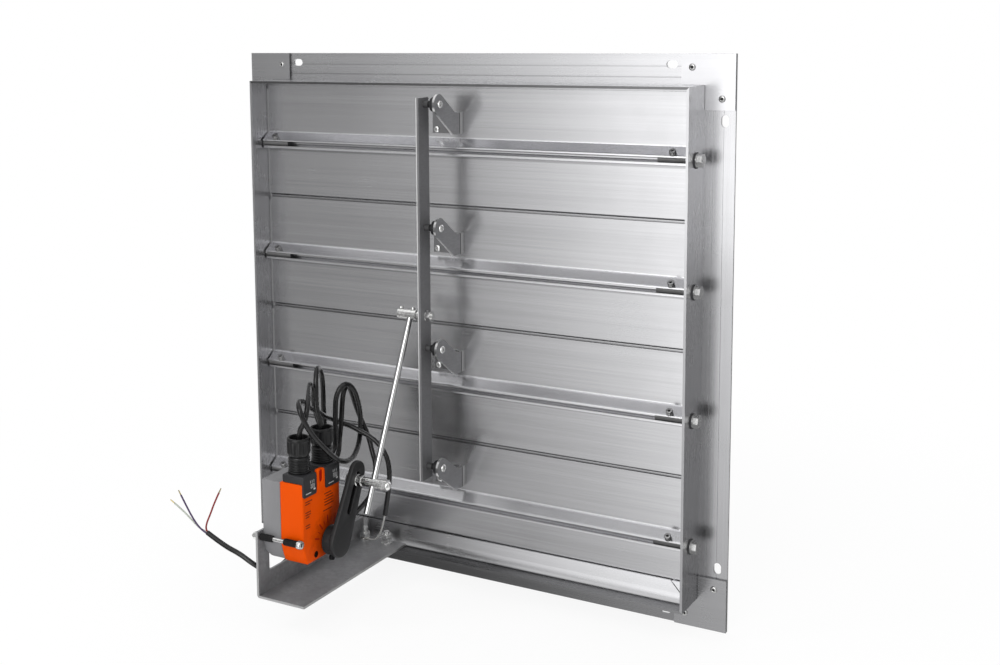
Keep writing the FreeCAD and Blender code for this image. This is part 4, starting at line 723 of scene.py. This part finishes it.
AXLE_Y, AXLE_ZS = -32.0, (223.6, 71.2, -81.2, -233.6)
SLOPE_Y, SLOPE_Z = -0.5678, 0.8232
SET_SCREW_X, SET_SCREW_OUT = 282.0, 7.794
BOLT_INSIDE = 0.3035
THREAD_PITCH = 0.0013


def axle_metal(name, tint):
    """Zinc-plated bolt: bright outside the wall, dull and threaded inside the blade's groove, where its colour is
    darkened and banded along the thread as painted shade.
    """
    finish = Finish(bpy.data.materials.new(name))
    spot = finish.place()
    across = finish.part(spot, "X")
    inside = abs(across) < BOLT_INSIDE
    turn = finish.node("Math", {"operation": "SINE"}, {0: across * (math.tau / THREAD_PITCH)})
    grain = finish.noise(spot, 500.0, 3.0)
    clouds = finish.noise(spot, 60.0, 3.0)
    bright = finish.blend(finish.ramp(clouds, 0.35, 0.7, 0.0, 0.45), tint, shade(tint, 0.55))
    # Painted shade: the bolt is darker in the groove, with dark and light bands along the thread's turns.
    dull = finish.blend(finish.ramp(turn, -0.6, 0.6), srgb(62, 62, 63), srgb(128, 128, 128))
    return finish.surface(base_color=finish.blend(inside, bright, dull), metallic=1.0,
                          roughness=0.26 + 0.14 * inside + 0.12 * (grain - 0.5),
                          normal=finish.bump(inside * turn * 0.6 + 0.3 * grain, 0.0003, 0.5))


BLADE_PITCH, SKIN_FOOT = 0.1524, -0.3086
# Painted light up a blade: tones under 0.5 are painted shade in the seam's recess, under the rib and in its groove;
# tones over 0.5 are painted highlights on the rib's edges and fold.
BLADE_LIGHT_STOPS = [
    (0.0, 0.2), (0.012, 0.26), (0.016, 0.44), (0.02, 0.2), (0.034, 0.14), (0.038, 0.6), (0.046, 0.5),
    (0.412, 0.5), (0.422, 0.3), (0.441, 0.26), (0.446, 0.8), (0.462, 0.7), (0.47, 0.4), (0.508, 0.4),
    (0.512, 0.8), (0.523, 0.8), (0.53, 0.56), (0.576, 0.56), (0.583, 0.9), (0.592, 0.9), (0.598, 0.5), (1.0, 0.5)]


def blade_painted_light(finish):
    """Painted light up one blade, from the recess under its skin to its top edge: painted shade in the seam's
    recess and under the rib, and painted highlights on the rib's edges and fold.
    The slope of the top blade's rib gets a further painted highlight."""
    height = finish.part(finish.place(), "Z")
    share = finish.node("Math", {"operation": "FLOORED_MODULO"}, {0: (height - SKIN_FOOT) / BLADE_PITCH, 1: 1.0})
    # Painted highlight on the slope of the top blade's rib.
    slope = finish.ramp(height, 0.2288, 0.2294) * finish.ramp(height, 0.2372, 0.2366, 0.0, 0.4)
    return finish.node("ValToRGB", {"stops": BLADE_LIGHT_STOPS}, {0: share}) + slope


def make_blades(metals):
    skin = drawn_metal("drawn_blade", metals.blade, "X", roughness=0.25, lines=metals.brushing, relief=0.4,
                       profile=blade_painted_light)
    pins = axle_metal("axle_zinc", shade(metals.zinc, 0.56))
    steel = zinc_metal("set_screw_steel", srgb(176, 176, 176), roughness=0.22, grain=800.0)
    for number, axle_z in enumerate(AXLE_ZS, 1):
        dress(skin, f"blade_{number}")
        dress(pins, f"blade_fasteners_{number}")
        made = bmesh.new()
        for side in (-1, 1):
            foot = mm(side * SET_SCREW_X, AXLE_Y + SLOPE_Y * SET_SCREW_OUT, axle_z + SLOPE_Z * SET_SCREW_OUT)
            turned(made, foot, (0, SLOPE_Y, SLOPE_Z),
                   [(3.3, -0.3), (4.3, 0.0, 0.3), (4.3, 0.7, 0.3), (3.5, 1.0), (4.2, 1.4, 0.35), (4.2, 4.6, 0.35),
                    (3.9, 5.5, 0.1), (3.5, 5.75), (1.9, 5.75), (1.7, 5.4, 0.15), (1.6, 2.6, 0.15)], lobes=12)
        keep(mesh_piece(f"set_screw_heads_{number}", made), f"blade_{number}", steel, slot="zinc_steel")


PIN_OUT, PIN_UP = 47, 60
FOOT_RIVETS = ((-36.0, 25.6), (-15.0, 38.0))


def make_linkage(metals):
    # The crank brackets get a painted highlight on the bend, a painted shade line beside it, and the ear's painted
    # shadow on the foot.
    bracket = sheared_plate("crank_bracket_metal", srgb(166, 166, 168), srgb(206, 206, 206), flat_axes="XY",
                            bend=-0.0274)
    bright = zinc_metal("pin_zinc", metals.zinc, roughness=0.2, grain=600.0)
    pin_heads = bmesh.new()
    for number, axle_z in enumerate(AXLE_ZS, 1):
        dress(bracket, f"crank_bracket_{number}")
        turned(pin_heads, mm(0, AXLE_Y - PIN_OUT, axle_z + PIN_UP), (1, 0, 0),
               [(3.0, -1.6), (4.75, -1.6), (4.75, -0.3), (4.3, 0.5), (3.4, 0.95), (2.6, 1.0), (2.1, 0.7),
                (1.8, -0.4)], around=36)
        rivets = bmesh.new()
        for x, up in FOOT_RIVETS:
            turned(rivets, mm(x, AXLE_Y + 5, axle_z + up), (0, -1, 0),
                   [(2.6, 0.1), (4.3, 0.1), (4.4, 0.6), (4.0, 1.5), (3.1, 2.15), (2.2, 2.3), (1.7, 1.9),
                    (1.5, 0.9)], around=32)
        keep(mesh_piece(f"foot_rivet_heads_{number}", rivets, 40), f"blade_{number}", bright, slot="rivet_metal")
    keep(mesh_piece("pin_head_domes", pin_heads, 40), "tie_bar", bright, slot="zinc_steel")
    # Tie bar: a darkened face as painted shade, and a lighter front edge only as a painted highlight.
    dress(sheared_plate("tie_bar_metal", shade(metals.bar, 0.8), srgb(205, 205, 205), roughness=0.62, metallic=0.55,
                        bright=lambda finish: span(finish, "X", -0.03, -0.0263)), "tie_bar")
    # The pins are dark grey: painted shade beside the tie bar.
    dress(zinc_metal("pin_in_sleeve", srgb(78, 78, 79), roughness=0.6, grain=600.0, metallic=0.5,
                     special_tint=srgb(20, 20, 21), special=lambda finish: span(finish, "X", -0.0165, -0.0112)),
          "pivot_pins")
    dress(bright, "rod_stud", "stud_nut", "swivel_fasteners")
    dress(moulded_plastic("spacer_nylon", srgb(28, 28, 30), roughness=0.45), "pivot_spacers")
    dress(drawn_metal("drawn_rod", metals.rod, "Z", roughness=0.16, lines=0.25, fine=500.0, cloud=0.1), "drive_rod")
    dress(zinc_metal("swivel_zinc", metals.zinc, roughness=0.2, grain=500.0, cloud=0.15),
          "upper_swivel", "lower_swivel")


# ---------------------------------------------------------------- actuator

HUB = (-205.0, -240.0)
ARM_TURN = math.radians(63.0)
ARM_PLATE, ARM_WEB = (-76.5, -70.0), (-76.3, -74.6)
SLOT_START, SLOT_END, WEB_END = 37.2, 81.8, 66.0


def from_hub(reach, turn=ARM_TURN):
    """A point (Y, Z) at a reach from the hub: along the crank arm at rest, or at another angle."""
    return HUB[0] + reach * math.cos(turn), HUB[1] + reach * math.sin(turn)


def make_crank_arm(metals, actuator):
    """The arm's plate with its slot, the boss behind it, and a dark sheet at the bottom of the slot that paints its
    shade.
    """
    plastic = moulded_plastic("arm_plastic", actuator.arm, roughness=0.46, grain=900.0, depth=0.00008, wear=0.25,
                              shine=0.35)
    plate = sheet_piece("crank_arm_plate", [link_outline(from_hub(0), 20.0, from_hub(84), 15.0, 24),
                                            link_outline(from_hub(SLOT_START), 4.2, from_hub(SLOT_END), 4.19, 10)],
                        *ARM_PLATE, 1.7)
    keep(mesh_piece("crank_arm_plate", plate, 30), "crank_arm", plastic, slot="arm_plastic", hides=["crank_arm"])
    made = bmesh.new()
    turned(made, mm(0, *HUB), (1, 0, 0), [(12.0, -88.5), (16.9, -88.5), (17.7, -88.1), (18.0, -87.3), (18.0, -77.6),
                                          (18.6, -76.8), (18.9, -75.6), (14.0, -75.4)], around=72)
    keep(mesh_piece("crank_arm_boss", made, 30), "crank_arm", plastic, slot="arm_plastic")
    # A dark sheet at the bottom of the slot: painted shade.
    web = sheet_piece("crank_arm_slot_web", [link_outline(from_hub(SLOT_START), 4.35, from_hub(WEB_END), 4.34, 8)],
                      *ARM_WEB, 0.2)
    keep(mesh_piece("crank_arm_slot_web", web, 30), "crank_arm",
         moulded_plastic("slot_black", srgb(12, 12, 12), roughness=0.7, shine=0.1), slot="arm_plastic")
    dress(zinc_metal("stud_zinc", metals.zinc, roughness=0.2, grain=600.0), "crank_stud")
    dress(zinc_metal("nut_zinc", metals.zinc, roughness=0.2, grain=600.0, special_tint=srgb(34, 34, 35),
                     special=lambda finish: span(finish, "Z", -0.4, -0.22)), "crank_nuts")


SPLIT_X, COVER_RIGHT = -123.5, -89.5
FACE_FRONT, FACE_REAR, FACE_TOP, FACE_LOW = -257.5, -180.0, -157.5, -258.0
NOSE = ((0.0, 24.0), (1.0, 19.0), (4.0, 9.5), (7.0, 2.0), (9.5, 0.0))
CAP_SPANS = ((-257.5, -229.5), (-212.0, -181.0))
TONGUE_TOP, TONGUE_LOW, TONGUE_ROUND = -146.6, -176.0, 4.5
NOTCH_MIDDLE, NOTCH_HALF, NOTCH_LOW = -221.0, 3.1, -159.6
COVER_LINES = ((-252.0, -180.0, 13.0), (-252.0, -183.0, 9.0), (-252.0, -193.0, 10.0), (-252.0, -196.0, 10.0),
               (-252.0, -199.0, 7.0), (-252.0, -209.0, 8.0), (-252.0, -212.0, 8.0), (-213.0, -181.0, 14.0),
               (-210.0, -184.5, 14.0), (-213.0, -188.0, 18.0), (-213.0, -191.5, 16.0), (-213.0, -195.0, 18.0),
               (-216.0, -201.5, 18.0))


def make_housing(actuator):
    """The orange cover with its soft edges, and the notched tongue between the caps. Both are left out of mirror
    images, because the real cover leaves no red in the metal behind it."""
    # The cover is darkened round the crank hub: painted shade.
    orange = moulded_plastic("cover_plastic", actuator.cover, roughness=0.46, wear=0.05, grain=1200.0,
                             scuff=srgb(240, 110, 20), shine=0.06, shade_centre=HUB)
    dress(moulded_plastic("base_plastic", actuator.base, roughness=0.55, wear=0.12, shine=0.2), "actuator_base")
    outline = ([(FACE_REAR, FACE_TOP), (FACE_FRONT, FACE_TOP)]
               + [(FACE_FRONT + back, FACE_LOW + up) for back, up in NOSE]
               + [(FACE_REAR - 6, FACE_LOW), (FACE_REAR, FACE_LOW + 6)])
    shell = sheet_piece("orange_cover", [outline], SPLIT_X, COVER_RIGHT, 2.6)
    cover = keep(mesh_piece("orange_cover", shell, 32), "frame", orange, slot="orange_plastic",
                 hides=["actuator_cover"])
    low, high = CAP_SPANS[0][1] + 0.9, CAP_SPANS[1][0] - 0.9
    shoulder = TONGUE_TOP - TONGUE_ROUND
    outline = (arc((low + TONGUE_ROUND, shoulder), TONGUE_ROUND, 180, 90, 8)
               + arc((high - TONGUE_ROUND, shoulder), TONGUE_ROUND, 90, 0, 8)
               + [(high, TONGUE_LOW), (low, TONGUE_LOW)])
    notch = (arc((NOTCH_MIDDLE, TONGUE_TOP - 4.0), NOTCH_HALF, 0, 180, 10)
             + arc((NOTCH_MIDDLE, NOTCH_LOW), NOTCH_HALF, 180, 360, 10))
    raised = sheet_piece("cover_tongue", [outline, notch], -93.0, -88.3, 0.7)
    tongue = keep(mesh_piece("cover_tongue", raised, 32), "frame", orange, slot="orange_plastic")
    for piece in (cover, tongue):
        piece.visible_glossy = False
    made = bmesh.new()
    rounded_block(made, mm(-119.0, low - 1.0, -158.0), mm(-92.6, high + 1.0, -148.6), 1.2 * MM)
    keep(mesh_piece("cap_bridge", made, 32), "frame",
         moulded_plastic("bridge_plastic", actuator.cap, roughness=0.5, wear=0.12), slot="cap_plastic")
    # The notch's floor is a darker red: painted shade.
    deep = moulded_plastic("slot_shade", srgb(150, 18, 0), roughness=0.6, shine=0.1)
    floor = sheet_piece("cover_slot_floor", [rounded_rectangle((NOTCH_MIDDLE - 4.0, -165.0),
                                                               (NOTCH_MIDDLE + 4.0, -147.6), [3.5] * 4)],
                        -90.4, -89.2, 0.2)
    keep(mesh_piece("cover_slot_floor", floor, 32), "frame", deep, slot="orange_plastic")
    mark_cover(actuator)


def mark_cover(actuator):
    """The screw hole, a dark dish that paints its shade, the ticks of the scale round the hub and the plain lines
    on the cover's face.
    """
    made = bmesh.new()
    # A dark dish in place of the screw hole: painted shade.
    turned(made, mm(0, -232.6, -250.0), (1, 0, 0),
           [(3.9, -90.0), (4.0, -89.42), (3.7, -89.3), (3.2, -89.36), (1.6, -89.4)], around=36)
    keep(mesh_piece("cover_screw_hole", made), "frame",
         moulded_plastic("hole_black", srgb(14, 6, 4), roughness=0.8, shine=0.05), slot="orange_plastic")
    made = bmesh.new()
    for number in range(actuator.ticks):
        turn = math.radians(62 + 100 * number / (actuator.ticks - 1))
        outer, wide = (27.5, 1.0) if number % 2 else (30.5, 1.9)
        add_bar(made, from_hub(22.0, turn), from_hub(outer, turn), wide)
    keep(mesh_piece("cover_scale", made, 30), "frame",
         moulded_plastic("mark_red", srgb(146, 22, 4), roughness=0.6, shine=0.15), slot="orange_plastic")
    made = bmesh.new()
    for y, z, long in COVER_LINES:
        add_bar(made, (y, z), (y + long, z), 1.0)
    keep(mesh_piece("cover_marks", made, 30), "frame",
         moulded_plastic("mark_black", srgb(52, 26, 12), roughness=0.6, shine=0.15), slot="orange_plastic")


def add_bar(made, start, end, wide, high=COVER_RIGHT):
    """A thin raised mark with rounded ends on a face at X = high, from start to end in (Y, Z)."""
    turn = math.degrees(math.atan2(end[1] - start[1], end[0] - start[0]))
    outline = arc(start, wide / 2, turn + 90, turn + 270, 5) + arc(end, wide / 2, turn - 90, turn + 90, 5)
    loft(made, [[made.verts.new(mm(x, y, z)) for y, z in outline] for x in (high - 0.1, high + 0.12)])


def make_caps(actuator):
    """Two terminal caps: a rounded hood, and a tab with round lower corners over the cover's face."""
    plastic = moulded_plastic("cap_plastic", actuator.cap, roughness=0.5, wear=0.12, grain=1100.0)
    pale = moulded_plastic("cap_marks", srgb(205, 205, 205), roughness=0.6, shine=0.1)
    face = -88.0
    marks = bmesh.new()
    for number, (low, high) in enumerate(CAP_SPANS, 1):
        made = bmesh.new()
        rounded_block(made, mm(-119.5, low + 0.2, -157.5), mm(-88.2, high - 0.2, -147.5), 2.2 * MM, 4)
        hood = keep(mesh_piece(f"terminal_cap_{number}", made, 32), "frame", plastic, slot="cap_plastic")
        if number == 1:
            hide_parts("terminal_caps")
        outline = rounded_rectangle((low + 0.6, -174.0), (high - 0.6, -149.6), (3.0, 3.0, 1.5, 1.5))
        tab = sheet_piece(f"terminal_tab_{number}", [outline], -91.0, face, 0.7)
        keep(mesh_piece(f"terminal_tab_{number}", tab, 32), "frame", plastic, slot="cap_plastic")
        middle = (low + high) / 2
        for step in (-1, 0, 1):
            add_bar(marks, (middle + 4 + step * 3.4, -155.4), (middle + 4 + step * 3.4, -158.2), 0.6, face)
        for row in range(4):
            for step in range(3):
                start = middle + 0.8 + 2.9 * step + (row % 2) * 0.5
                add_bar(marks, (start, -160.2 - 1.5 * row), (start + 1.7, -160.2 - 1.5 * row), 0.55, face)
        add_bar(marks, (middle + 7.4, -167.0), (middle + 9.4, -167.0), 2.0, face)
        add_bar(marks, (middle - 9.0, -169.6), (middle + 1.0, -169.6), 0.9, face)
    keep(mesh_piece("terminal_cap_marks", marks, 30), "frame", pale, slot="cap_plastic")


GLAND_X, GLAND_YS = -105.5, (-241.0, -193.5)
GLAND_FOOT, GLAND_SEAT, GLAND_TOP = -147.5, -127.5, -104.5


def make_glands(actuator):
    """Each gland: a ringed body on the cap, and an open cup nut with grip lobes round the cable."""
    nylon = moulded_plastic("gland_nylon", actuator.nylon, roughness=0.36, grain=1400.0, wear=0.25, coat=0.1)
    for side, y in zip(("near", "far"), GLAND_YS):
        made = bmesh.new()
        rings = [(13.0, GLAND_FOOT), (13.4, GLAND_FOOT + 0.4), (13.4, GLAND_FOOT + 2.6), (12.9, GLAND_FOOT + 3.0)]
        level = GLAND_FOOT + 3.4
        while level + 3.0 < GLAND_SEAT:
            rings += [(12.2, level), (13.1, level + 0.7), (13.1, level + 1.6), (12.2, level + 2.3)]
            level += 3.2
        rings += [(12.0, GLAND_SEAT - 0.1)]
        turned(made, mm(GLAND_X, y, 0), (0, 0, 1), rings, around=64)
        body = keep(mesh_piece(f"gland_body_{side}", made, 50), "frame", nylon, slot="black_nylon")
        made = bmesh.new()
        rings = [(11.2, GLAND_SEAT), (12.2, GLAND_SEAT + 1.2, 0.2), (13.6, GLAND_SEAT + 3.4, 0.9),
                 (14.2, GLAND_SEAT + 5.2, 1.5), (14.2, GLAND_TOP - 5.2, 1.5), (13.9, GLAND_TOP - 4.2, 0.7),
                 (14.2, GLAND_TOP - 3.4), (14.2, GLAND_TOP - 0.9), (13.7, GLAND_TOP - 0.2), (13.2, GLAND_TOP),
                 (12.0, GLAND_TOP), (11.4, GLAND_TOP - 0.5), (10.8, GLAND_TOP - 7.0), (3.6, GLAND_TOP - 8.6)]
        turned(made, mm(GLAND_X, y, 0), (0, 0, 1), rings, around=96, lobes=actuator.ribs)
        keep(mesh_piece(f"gland_nut_{side}", made, 40), "frame", nylon, slot="black_nylon",
             hides=["gland_nuts"] if side == "near" else [])
        if side == "near":
            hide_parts("gland_bodies")


def make_gearbox():
    dress(moulded_plastic("gear_white", srgb(214, 212, 204), roughness=0.4), "output_gear", "idler_gear",
          "motor_pinion")
    dress(moulded_plastic("board_green", srgb(24, 84, 48), roughness=0.35), "circuit_board")
    dress(moulded_plastic("switch_black", srgb(26, 26, 28), roughness=0.45), "limit_switches")
    dress(zinc_metal("spring_steel", srgb(120, 122, 128), roughness=0.3), "return_spring")
    dress(zinc_metal("gear_plate_steel", srgb(176, 176, 174), roughness=0.34), "gear_plates", "output_shaft",
          "motor_spindle")
    dress(zinc_metal("motor_can", srgb(160, 160, 158), roughness=0.3), "motor")


RETAIN_LINE = (-262.2, -229.0)
RETAIN_SLEEVES = ((-149.6, -131.0), (-114.0, -94.0))
RETAIN_HEAD = -93.8


def bracket_lit_edges(finish):
    """1 on the bracket's right and front edges, which get a painted highlight, else 0."""
    return 1 - (1 - span(finish, "X", -0.0837, 0.0)) * (1 - span(finish, "Y", -0.3, -0.2678))


def make_bracket(metals, actuator):
    # The bracket's right and front edges take a lighter tint: painted highlight.
    dress(zinc_metal("bracket_zinc", metals.bracket, roughness=0.42, grain=300.0, metallic=0.7, cloud=0.55,
                     special_tint=srgb(184, 184, 184), special=bracket_lit_edges), "actuator_bracket")
    dress(zinc_metal("bolt_zinc", metals.zinc, roughness=0.24, grain=600.0), "bracket_bolts", "retaining_bolt",
          "cover_screws")
    rubber = moulded_plastic("sleeve_nylon", actuator.nylon, roughness=0.55, wear=0.1, shine=0.25)
    made = bmesh.new()
    for start, end in RETAIN_SLEEVES:
        rings = [(2.6, start), (3.7, start), (4.1, start + 0.5)]
        place = start + 1.6
        while place + 2.4 < end:
            rings += [(4.2, place), (4.2, place + 1.0), (3.75, place + 1.3), (3.75, place + 1.8)]
            place += 2.1
        rings += [(4.1, end - 0.6), (3.7, end), (2.6, end)]
        turned(made, mm(0, *RETAIN_LINE), (1, 0, 0), rings, around=40)
    keep(mesh_piece("ribbed_sleeves", made, 40), "frame", rubber, slot="black_nylon", hides=["retaining_sleeves"])
    made = bmesh.new()
    rings = [(3.4, RETAIN_HEAD - 0.2), (5.0, RETAIN_HEAD - 0.2), (5.1, RETAIN_HEAD + 0.4, 0.25),
             (5.1, RETAIN_HEAD + 3.0, 0.25), (4.7, RETAIN_HEAD + 4.3), (3.9, RETAIN_HEAD + 5.1),
             (2.4, RETAIN_HEAD + 5.25), (2.2, RETAIN_HEAD + 5.0), (2.1, RETAIN_HEAD + 2.6)]
    turned(made, mm(0, *RETAIN_LINE), (1, 0, 0), rings, around=72, lobes=24)
    keep(mesh_piece("retaining_bolt_head", made, 40), "frame",
         zinc_metal("bolt_head_zinc", metals.zinc, roughness=0.22, grain=700.0), slot="zinc_steel")


# ---------------------------------------------------------------- studio

CAMERA_PLACE = (835.1, -1514.0, 377.8)
CAMERA_SIDE, CAMERA_RISE, CAMERA_ROLL = 30.62, 7.49, -0.60
CAMERA_SHIFT = (0.0685, -0.1266)
FLOOR_RADIUS, FLOOR_GAP = 7.0, 0.0005


def make_camera(studio):
    """The photograph's viewpoint: seen from the right and a little above."""
    side, rise, roll = [math.radians(turn) for turn in (CAMERA_SIDE, CAMERA_RISE, CAMERA_ROLL)]
    back = Vector((math.sin(side) * math.cos(rise), -math.cos(side) * math.cos(rise), math.sin(rise)))
    right = (-back).cross(Vector((0, 0, 1))).normalized()
    up = right.cross(-back)
    turned_right = right * math.cos(roll) + up * math.sin(roll)
    turned_up = up * math.cos(roll) - right * math.sin(roll)
    camera = bpy.data.objects.new("camera", bpy.data.cameras.new("camera"))
    camera.data.lens = studio.lens
    camera.data.sensor_width = 36
    camera.data.shift_x, camera.data.shift_y = CAMERA_SHIFT
    camera.data.clip_start, camera.data.clip_end = 0.05, 60
    basis = Matrix((turned_right, turned_up, back)).transposed().to_4x4()
    camera.matrix_world = Matrix.Translation(mm(*CAMERA_PLACE)) @ basis
    bpy.context.scene.collection.objects.link(camera)
    bpy.context.scene.camera = camera


def soft_lamp(name, place, aim, size, power):
    """A square area lamp that faces its aim."""
    data = bpy.data.lights.new(name, "AREA")
    data.shape = "RECTANGLE"
    data.size, data.size_y, data.energy = size, size, power
    lamp = bpy.data.objects.new(name, data)
    lamp.location = place
    lamp.rotation_mode = "QUATERNION"
    lamp.rotation_quaternion = (Vector(aim) - Vector(place)).to_track_quat("-Z", "Y")
    bpy.context.scene.collection.objects.link(lamp)
    return lamp


def make_room(studio):
    """A white room to the camera. Metal mirrors a dim one that is bright in front, and less so above, below,
    to the right and behind."""
    room = Finish(bpy.data.worlds.new("pale_room"))
    camera_ray = room.node("LightPath", output="Is Camera Ray")
    through = room.node("LightPath", output="Is Transmission Ray")
    gloss = room.node("LightPath", output="Is Glossy Ray")
    way = room.node("TexCoord", output="Generated")
    level_way = room.node("VectorMath", {"operation": "NORMALIZE"},
                          {0: room.node("VectorMath", {"operation": "MULTIPLY"}, {0: way, 1: (1, 1, 0.55)})})
    ahead = room.node("VectorMath", {"operation": "DOT_PRODUCT"}, {0: level_way, 1: (-0.035, -0.994, 0.1)}, "Value")
    rise = room.part(way, "Z")
    aside = room.part(way, "X")
    behind = room.part(way, "Y")
    seen = studio.far_level + (studio.near_level - studio.far_level) * room.ramp(ahead, 0.885, 0.953)
    seen += room.ramp(abs(rise), 0.35, 0.85, 0.0, 0.75) + room.ramp(aside, 0.6, 0.9, 0.0, 0.4)
    seen += room.ramp(behind, 0.3, 0.7, 0.0, 0.5) * room.ramp(aside, 0.3, 0.0)
    white = room.node("Math", {"operation": "MAXIMUM"}, {0: camera_ray, 1: through})
    level = white + (1 - white) * seen * (1 + studio.mirror_gain * gloss)
    return room.close(room.node("Background", None, {"Color": (1, 1, 1), "Strength": level}), "OutputWorld")


def make_floor(studio):
    """A pale round floor that keeps the shadow near the shutter and fades to white away from it. Mirrors show
    the room in its place."""
    made = bmesh.new()
    bmesh.ops.create_circle(made, cap_ends=True, radius=FLOOR_RADIUS, segments=96)
    floor = mesh_piece("floor", made)
    floor.location = (0, 0, CAD_BOX[0].z - FLOOR_GAP)
    finish = Finish(bpy.data.materials.new("pale_floor"))
    spot = finish.part(finish.place(), "X")
    other = finish.part(finish.place(), "Y")
    away = (spot * spot + other * other) ** 0.5
    glow = finish.node("LightPath", output="Is Camera Ray") * finish.ramp(away, 0.3, 1.2, 0.9, 1.0)
    paint = finish.node("BsdfDiffuse", None, {"Color": tuple(studio.floor_colour)})
    white = finish.node("Emission", None, {"Color": (1, 1, 1), "Strength": 1.0})
    floor.data.materials.append(finish.close(finish.node("MixShader", None, {0: glow, 1: paint, 2: white})))
    bpy.context.scene.collection.objects.link(floor)
    floor.visible_glossy = False
    return floor


def make_studio(studio):
    bpy.context.scene.view_settings.view_transform = "Standard"
    bpy.context.scene.world = make_room(studio)
    soft_lamp("key_lamp", (0.6, -3.2, 1.6), (0, 0, 0), 1.8, studio.key_power)
    top_lamp = soft_lamp("top_lamp", (-1.1, -1.2, 1.35), (0, -0.1, -0.1), 0.4, studio.key_power * 0.3)
    top_lamp.visible_glossy = False
    floor = make_floor(studio)


# ---------------------------------------------------------------- operators and panel

class SHUTTER_OT_camera(Operator):
    """Place the camera where the photograph was taken from"""
    bl_idname = "shutter.camera"
    bl_label = "Camera"

    def execute(self, context):
        make_camera(context.scene.shutter_studio)
        return {"FINISHED"}


class SHUTTER_OT_cables(Operator):
    """Lay the two black cables in their loops"""
    bl_idname = "shutter.cables"
    bl_label = "Cables"

    def execute(self, context):
        make_cables(context.scene.shutter_cables)
        return {"FINISHED"}


class SHUTTER_OT_wires(Operator):
    """Lay the single wires with their bare tips and ring terminal"""
    bl_idname = "shutter.wires"
    bl_label = "Wires"

    def execute(self, context):
        make_wires(context.scene.shutter_cables)
        return {"FINISHED"}


class SHUTTER_OT_frame(Operator):
    """Finish the frame, its corner plates, rivets and bushes"""
    bl_idname = "shutter.frame"
    bl_label = "Frame"

    def execute(self, context):
        make_frame(context.scene.shutter_metals)
        return {"FINISHED"}


class SHUTTER_OT_blades(Operator):
    """Finish the blades, their axle bolts and set screws"""
    bl_idname = "shutter.blades"
    bl_label = "Blades"

    def execute(self, context):
        make_blades(context.scene.shutter_metals)
        return {"FINISHED"}


class SHUTTER_OT_linkage(Operator):
    """Finish the crank brackets, tie bar and drive rod"""
    bl_idname = "shutter.linkage"
    bl_label = "Linkage"

    def execute(self, context):
        make_linkage(context.scene.shutter_metals)
        return {"FINISHED"}


class SHUTTER_OT_crank_arm(Operator):
    """Finish the crank arm and its stud"""
    bl_idname = "shutter.crank_arm"
    bl_label = "Crank Arm"

    def execute(self, context):
        make_crank_arm(context.scene.shutter_metals, context.scene.shutter_actuator)
        return {"FINISHED"}


class SHUTTER_OT_housing(Operator):
    """Finish the actuator's base and cover"""
    bl_idname = "shutter.housing"
    bl_label = "Housing"

    def execute(self, context):
        make_housing(context.scene.shutter_actuator)
        return {"FINISHED"}


class SHUTTER_OT_caps(Operator):
    """Finish the two terminal caps"""
    bl_idname = "shutter.caps"
    bl_label = "Terminal Caps"

    def execute(self, context):
        make_caps(context.scene.shutter_actuator)
        return {"FINISHED"}


class SHUTTER_OT_glands(Operator):
    """Make the two cable glands"""
    bl_idname = "shutter.glands"
    bl_label = "Cable Glands"

    def execute(self, context):
        make_glands(context.scene.shutter_actuator)
        return {"FINISHED"}


class SHUTTER_OT_gearbox(Operator):
    """Finish the gears, motor, spring, switches and board inside the actuator"""
    bl_idname = "shutter.gearbox"
    bl_label = "Gearbox"

    def execute(self, context):
        make_gearbox()
        return {"FINISHED"}


class SHUTTER_OT_bracket(Operator):
    """Finish the actuator's bracket, its bolts and the retaining bolt"""
    bl_idname = "shutter.bracket"
    bl_label = "Bracket"

    def execute(self, context):
        make_bracket(context.scene.shutter_metals, context.scene.shutter_actuator)
        return {"FINISHED"}


class SHUTTER_OT_studio(Operator):
    """Make the pale floor, the room and the lamps"""
    bl_idname = "shutter.studio"
    bl_label = "Studio"

    def execute(self, context):
        make_studio(context.scene.shutter_studio)
        return {"FINISHED"}


STEPS = (SHUTTER_OT_camera, SHUTTER_OT_cables, SHUTTER_OT_wires, SHUTTER_OT_frame, SHUTTER_OT_blades,
         SHUTTER_OT_linkage, SHUTTER_OT_crank_arm, SHUTTER_OT_housing, SHUTTER_OT_caps, SHUTTER_OT_glands,
         SHUTTER_OT_gearbox, SHUTTER_OT_bracket, SHUTTER_OT_studio)


class SHUTTER_PT_pieces(Panel):
    """The shutter's pieces, in the order they are made"""
    bl_label = "Fan Shutter"
    bl_space_type = "VIEW_3D"
    bl_region_type = "UI"
    bl_category = "Shutter"

    def draw(self, context):
        column = self.layout.column(align=True)
        for step in STEPS:
            column.operator(step.bl_idname)
        for name in SETTINGS:
            group = getattr(context.scene, name)
            box = self.layout.box()
            for key in group.__annotations__:
                box.prop(group, key)


def register():
    for item in (*SETTINGS.values(), *STEPS, SHUTTER_PT_pieces):
        bpy.utils.register_class(item)
    for name, group in SETTINGS.items():
        setattr(bpy.types.Scene, name, PointerProperty(type=group))


def unregister():
    for name in SETTINGS:
        delattr(bpy.types.Scene, name)
    for item in reversed((*SETTINGS.values(), *STEPS, SHUTTER_PT_pieces)):
        bpy.utils.unregister_class(item)


def main():
    register()
    bpy.ops.shutter.camera()
    bpy.ops.shutter.cables()
    bpy.ops.shutter.wires()
    bpy.ops.shutter.frame()
    bpy.ops.shutter.blades()
    bpy.ops.shutter.linkage()
    bpy.ops.shutter.crank_arm()
    bpy.ops.shutter.housing()
    bpy.ops.shutter.caps()
    bpy.ops.shutter.glands()
    bpy.ops.shutter.gearbox()
    bpy.ops.shutter.bracket()
    bpy.ops.shutter.studio()


if __name__ == "__main__":
    main()
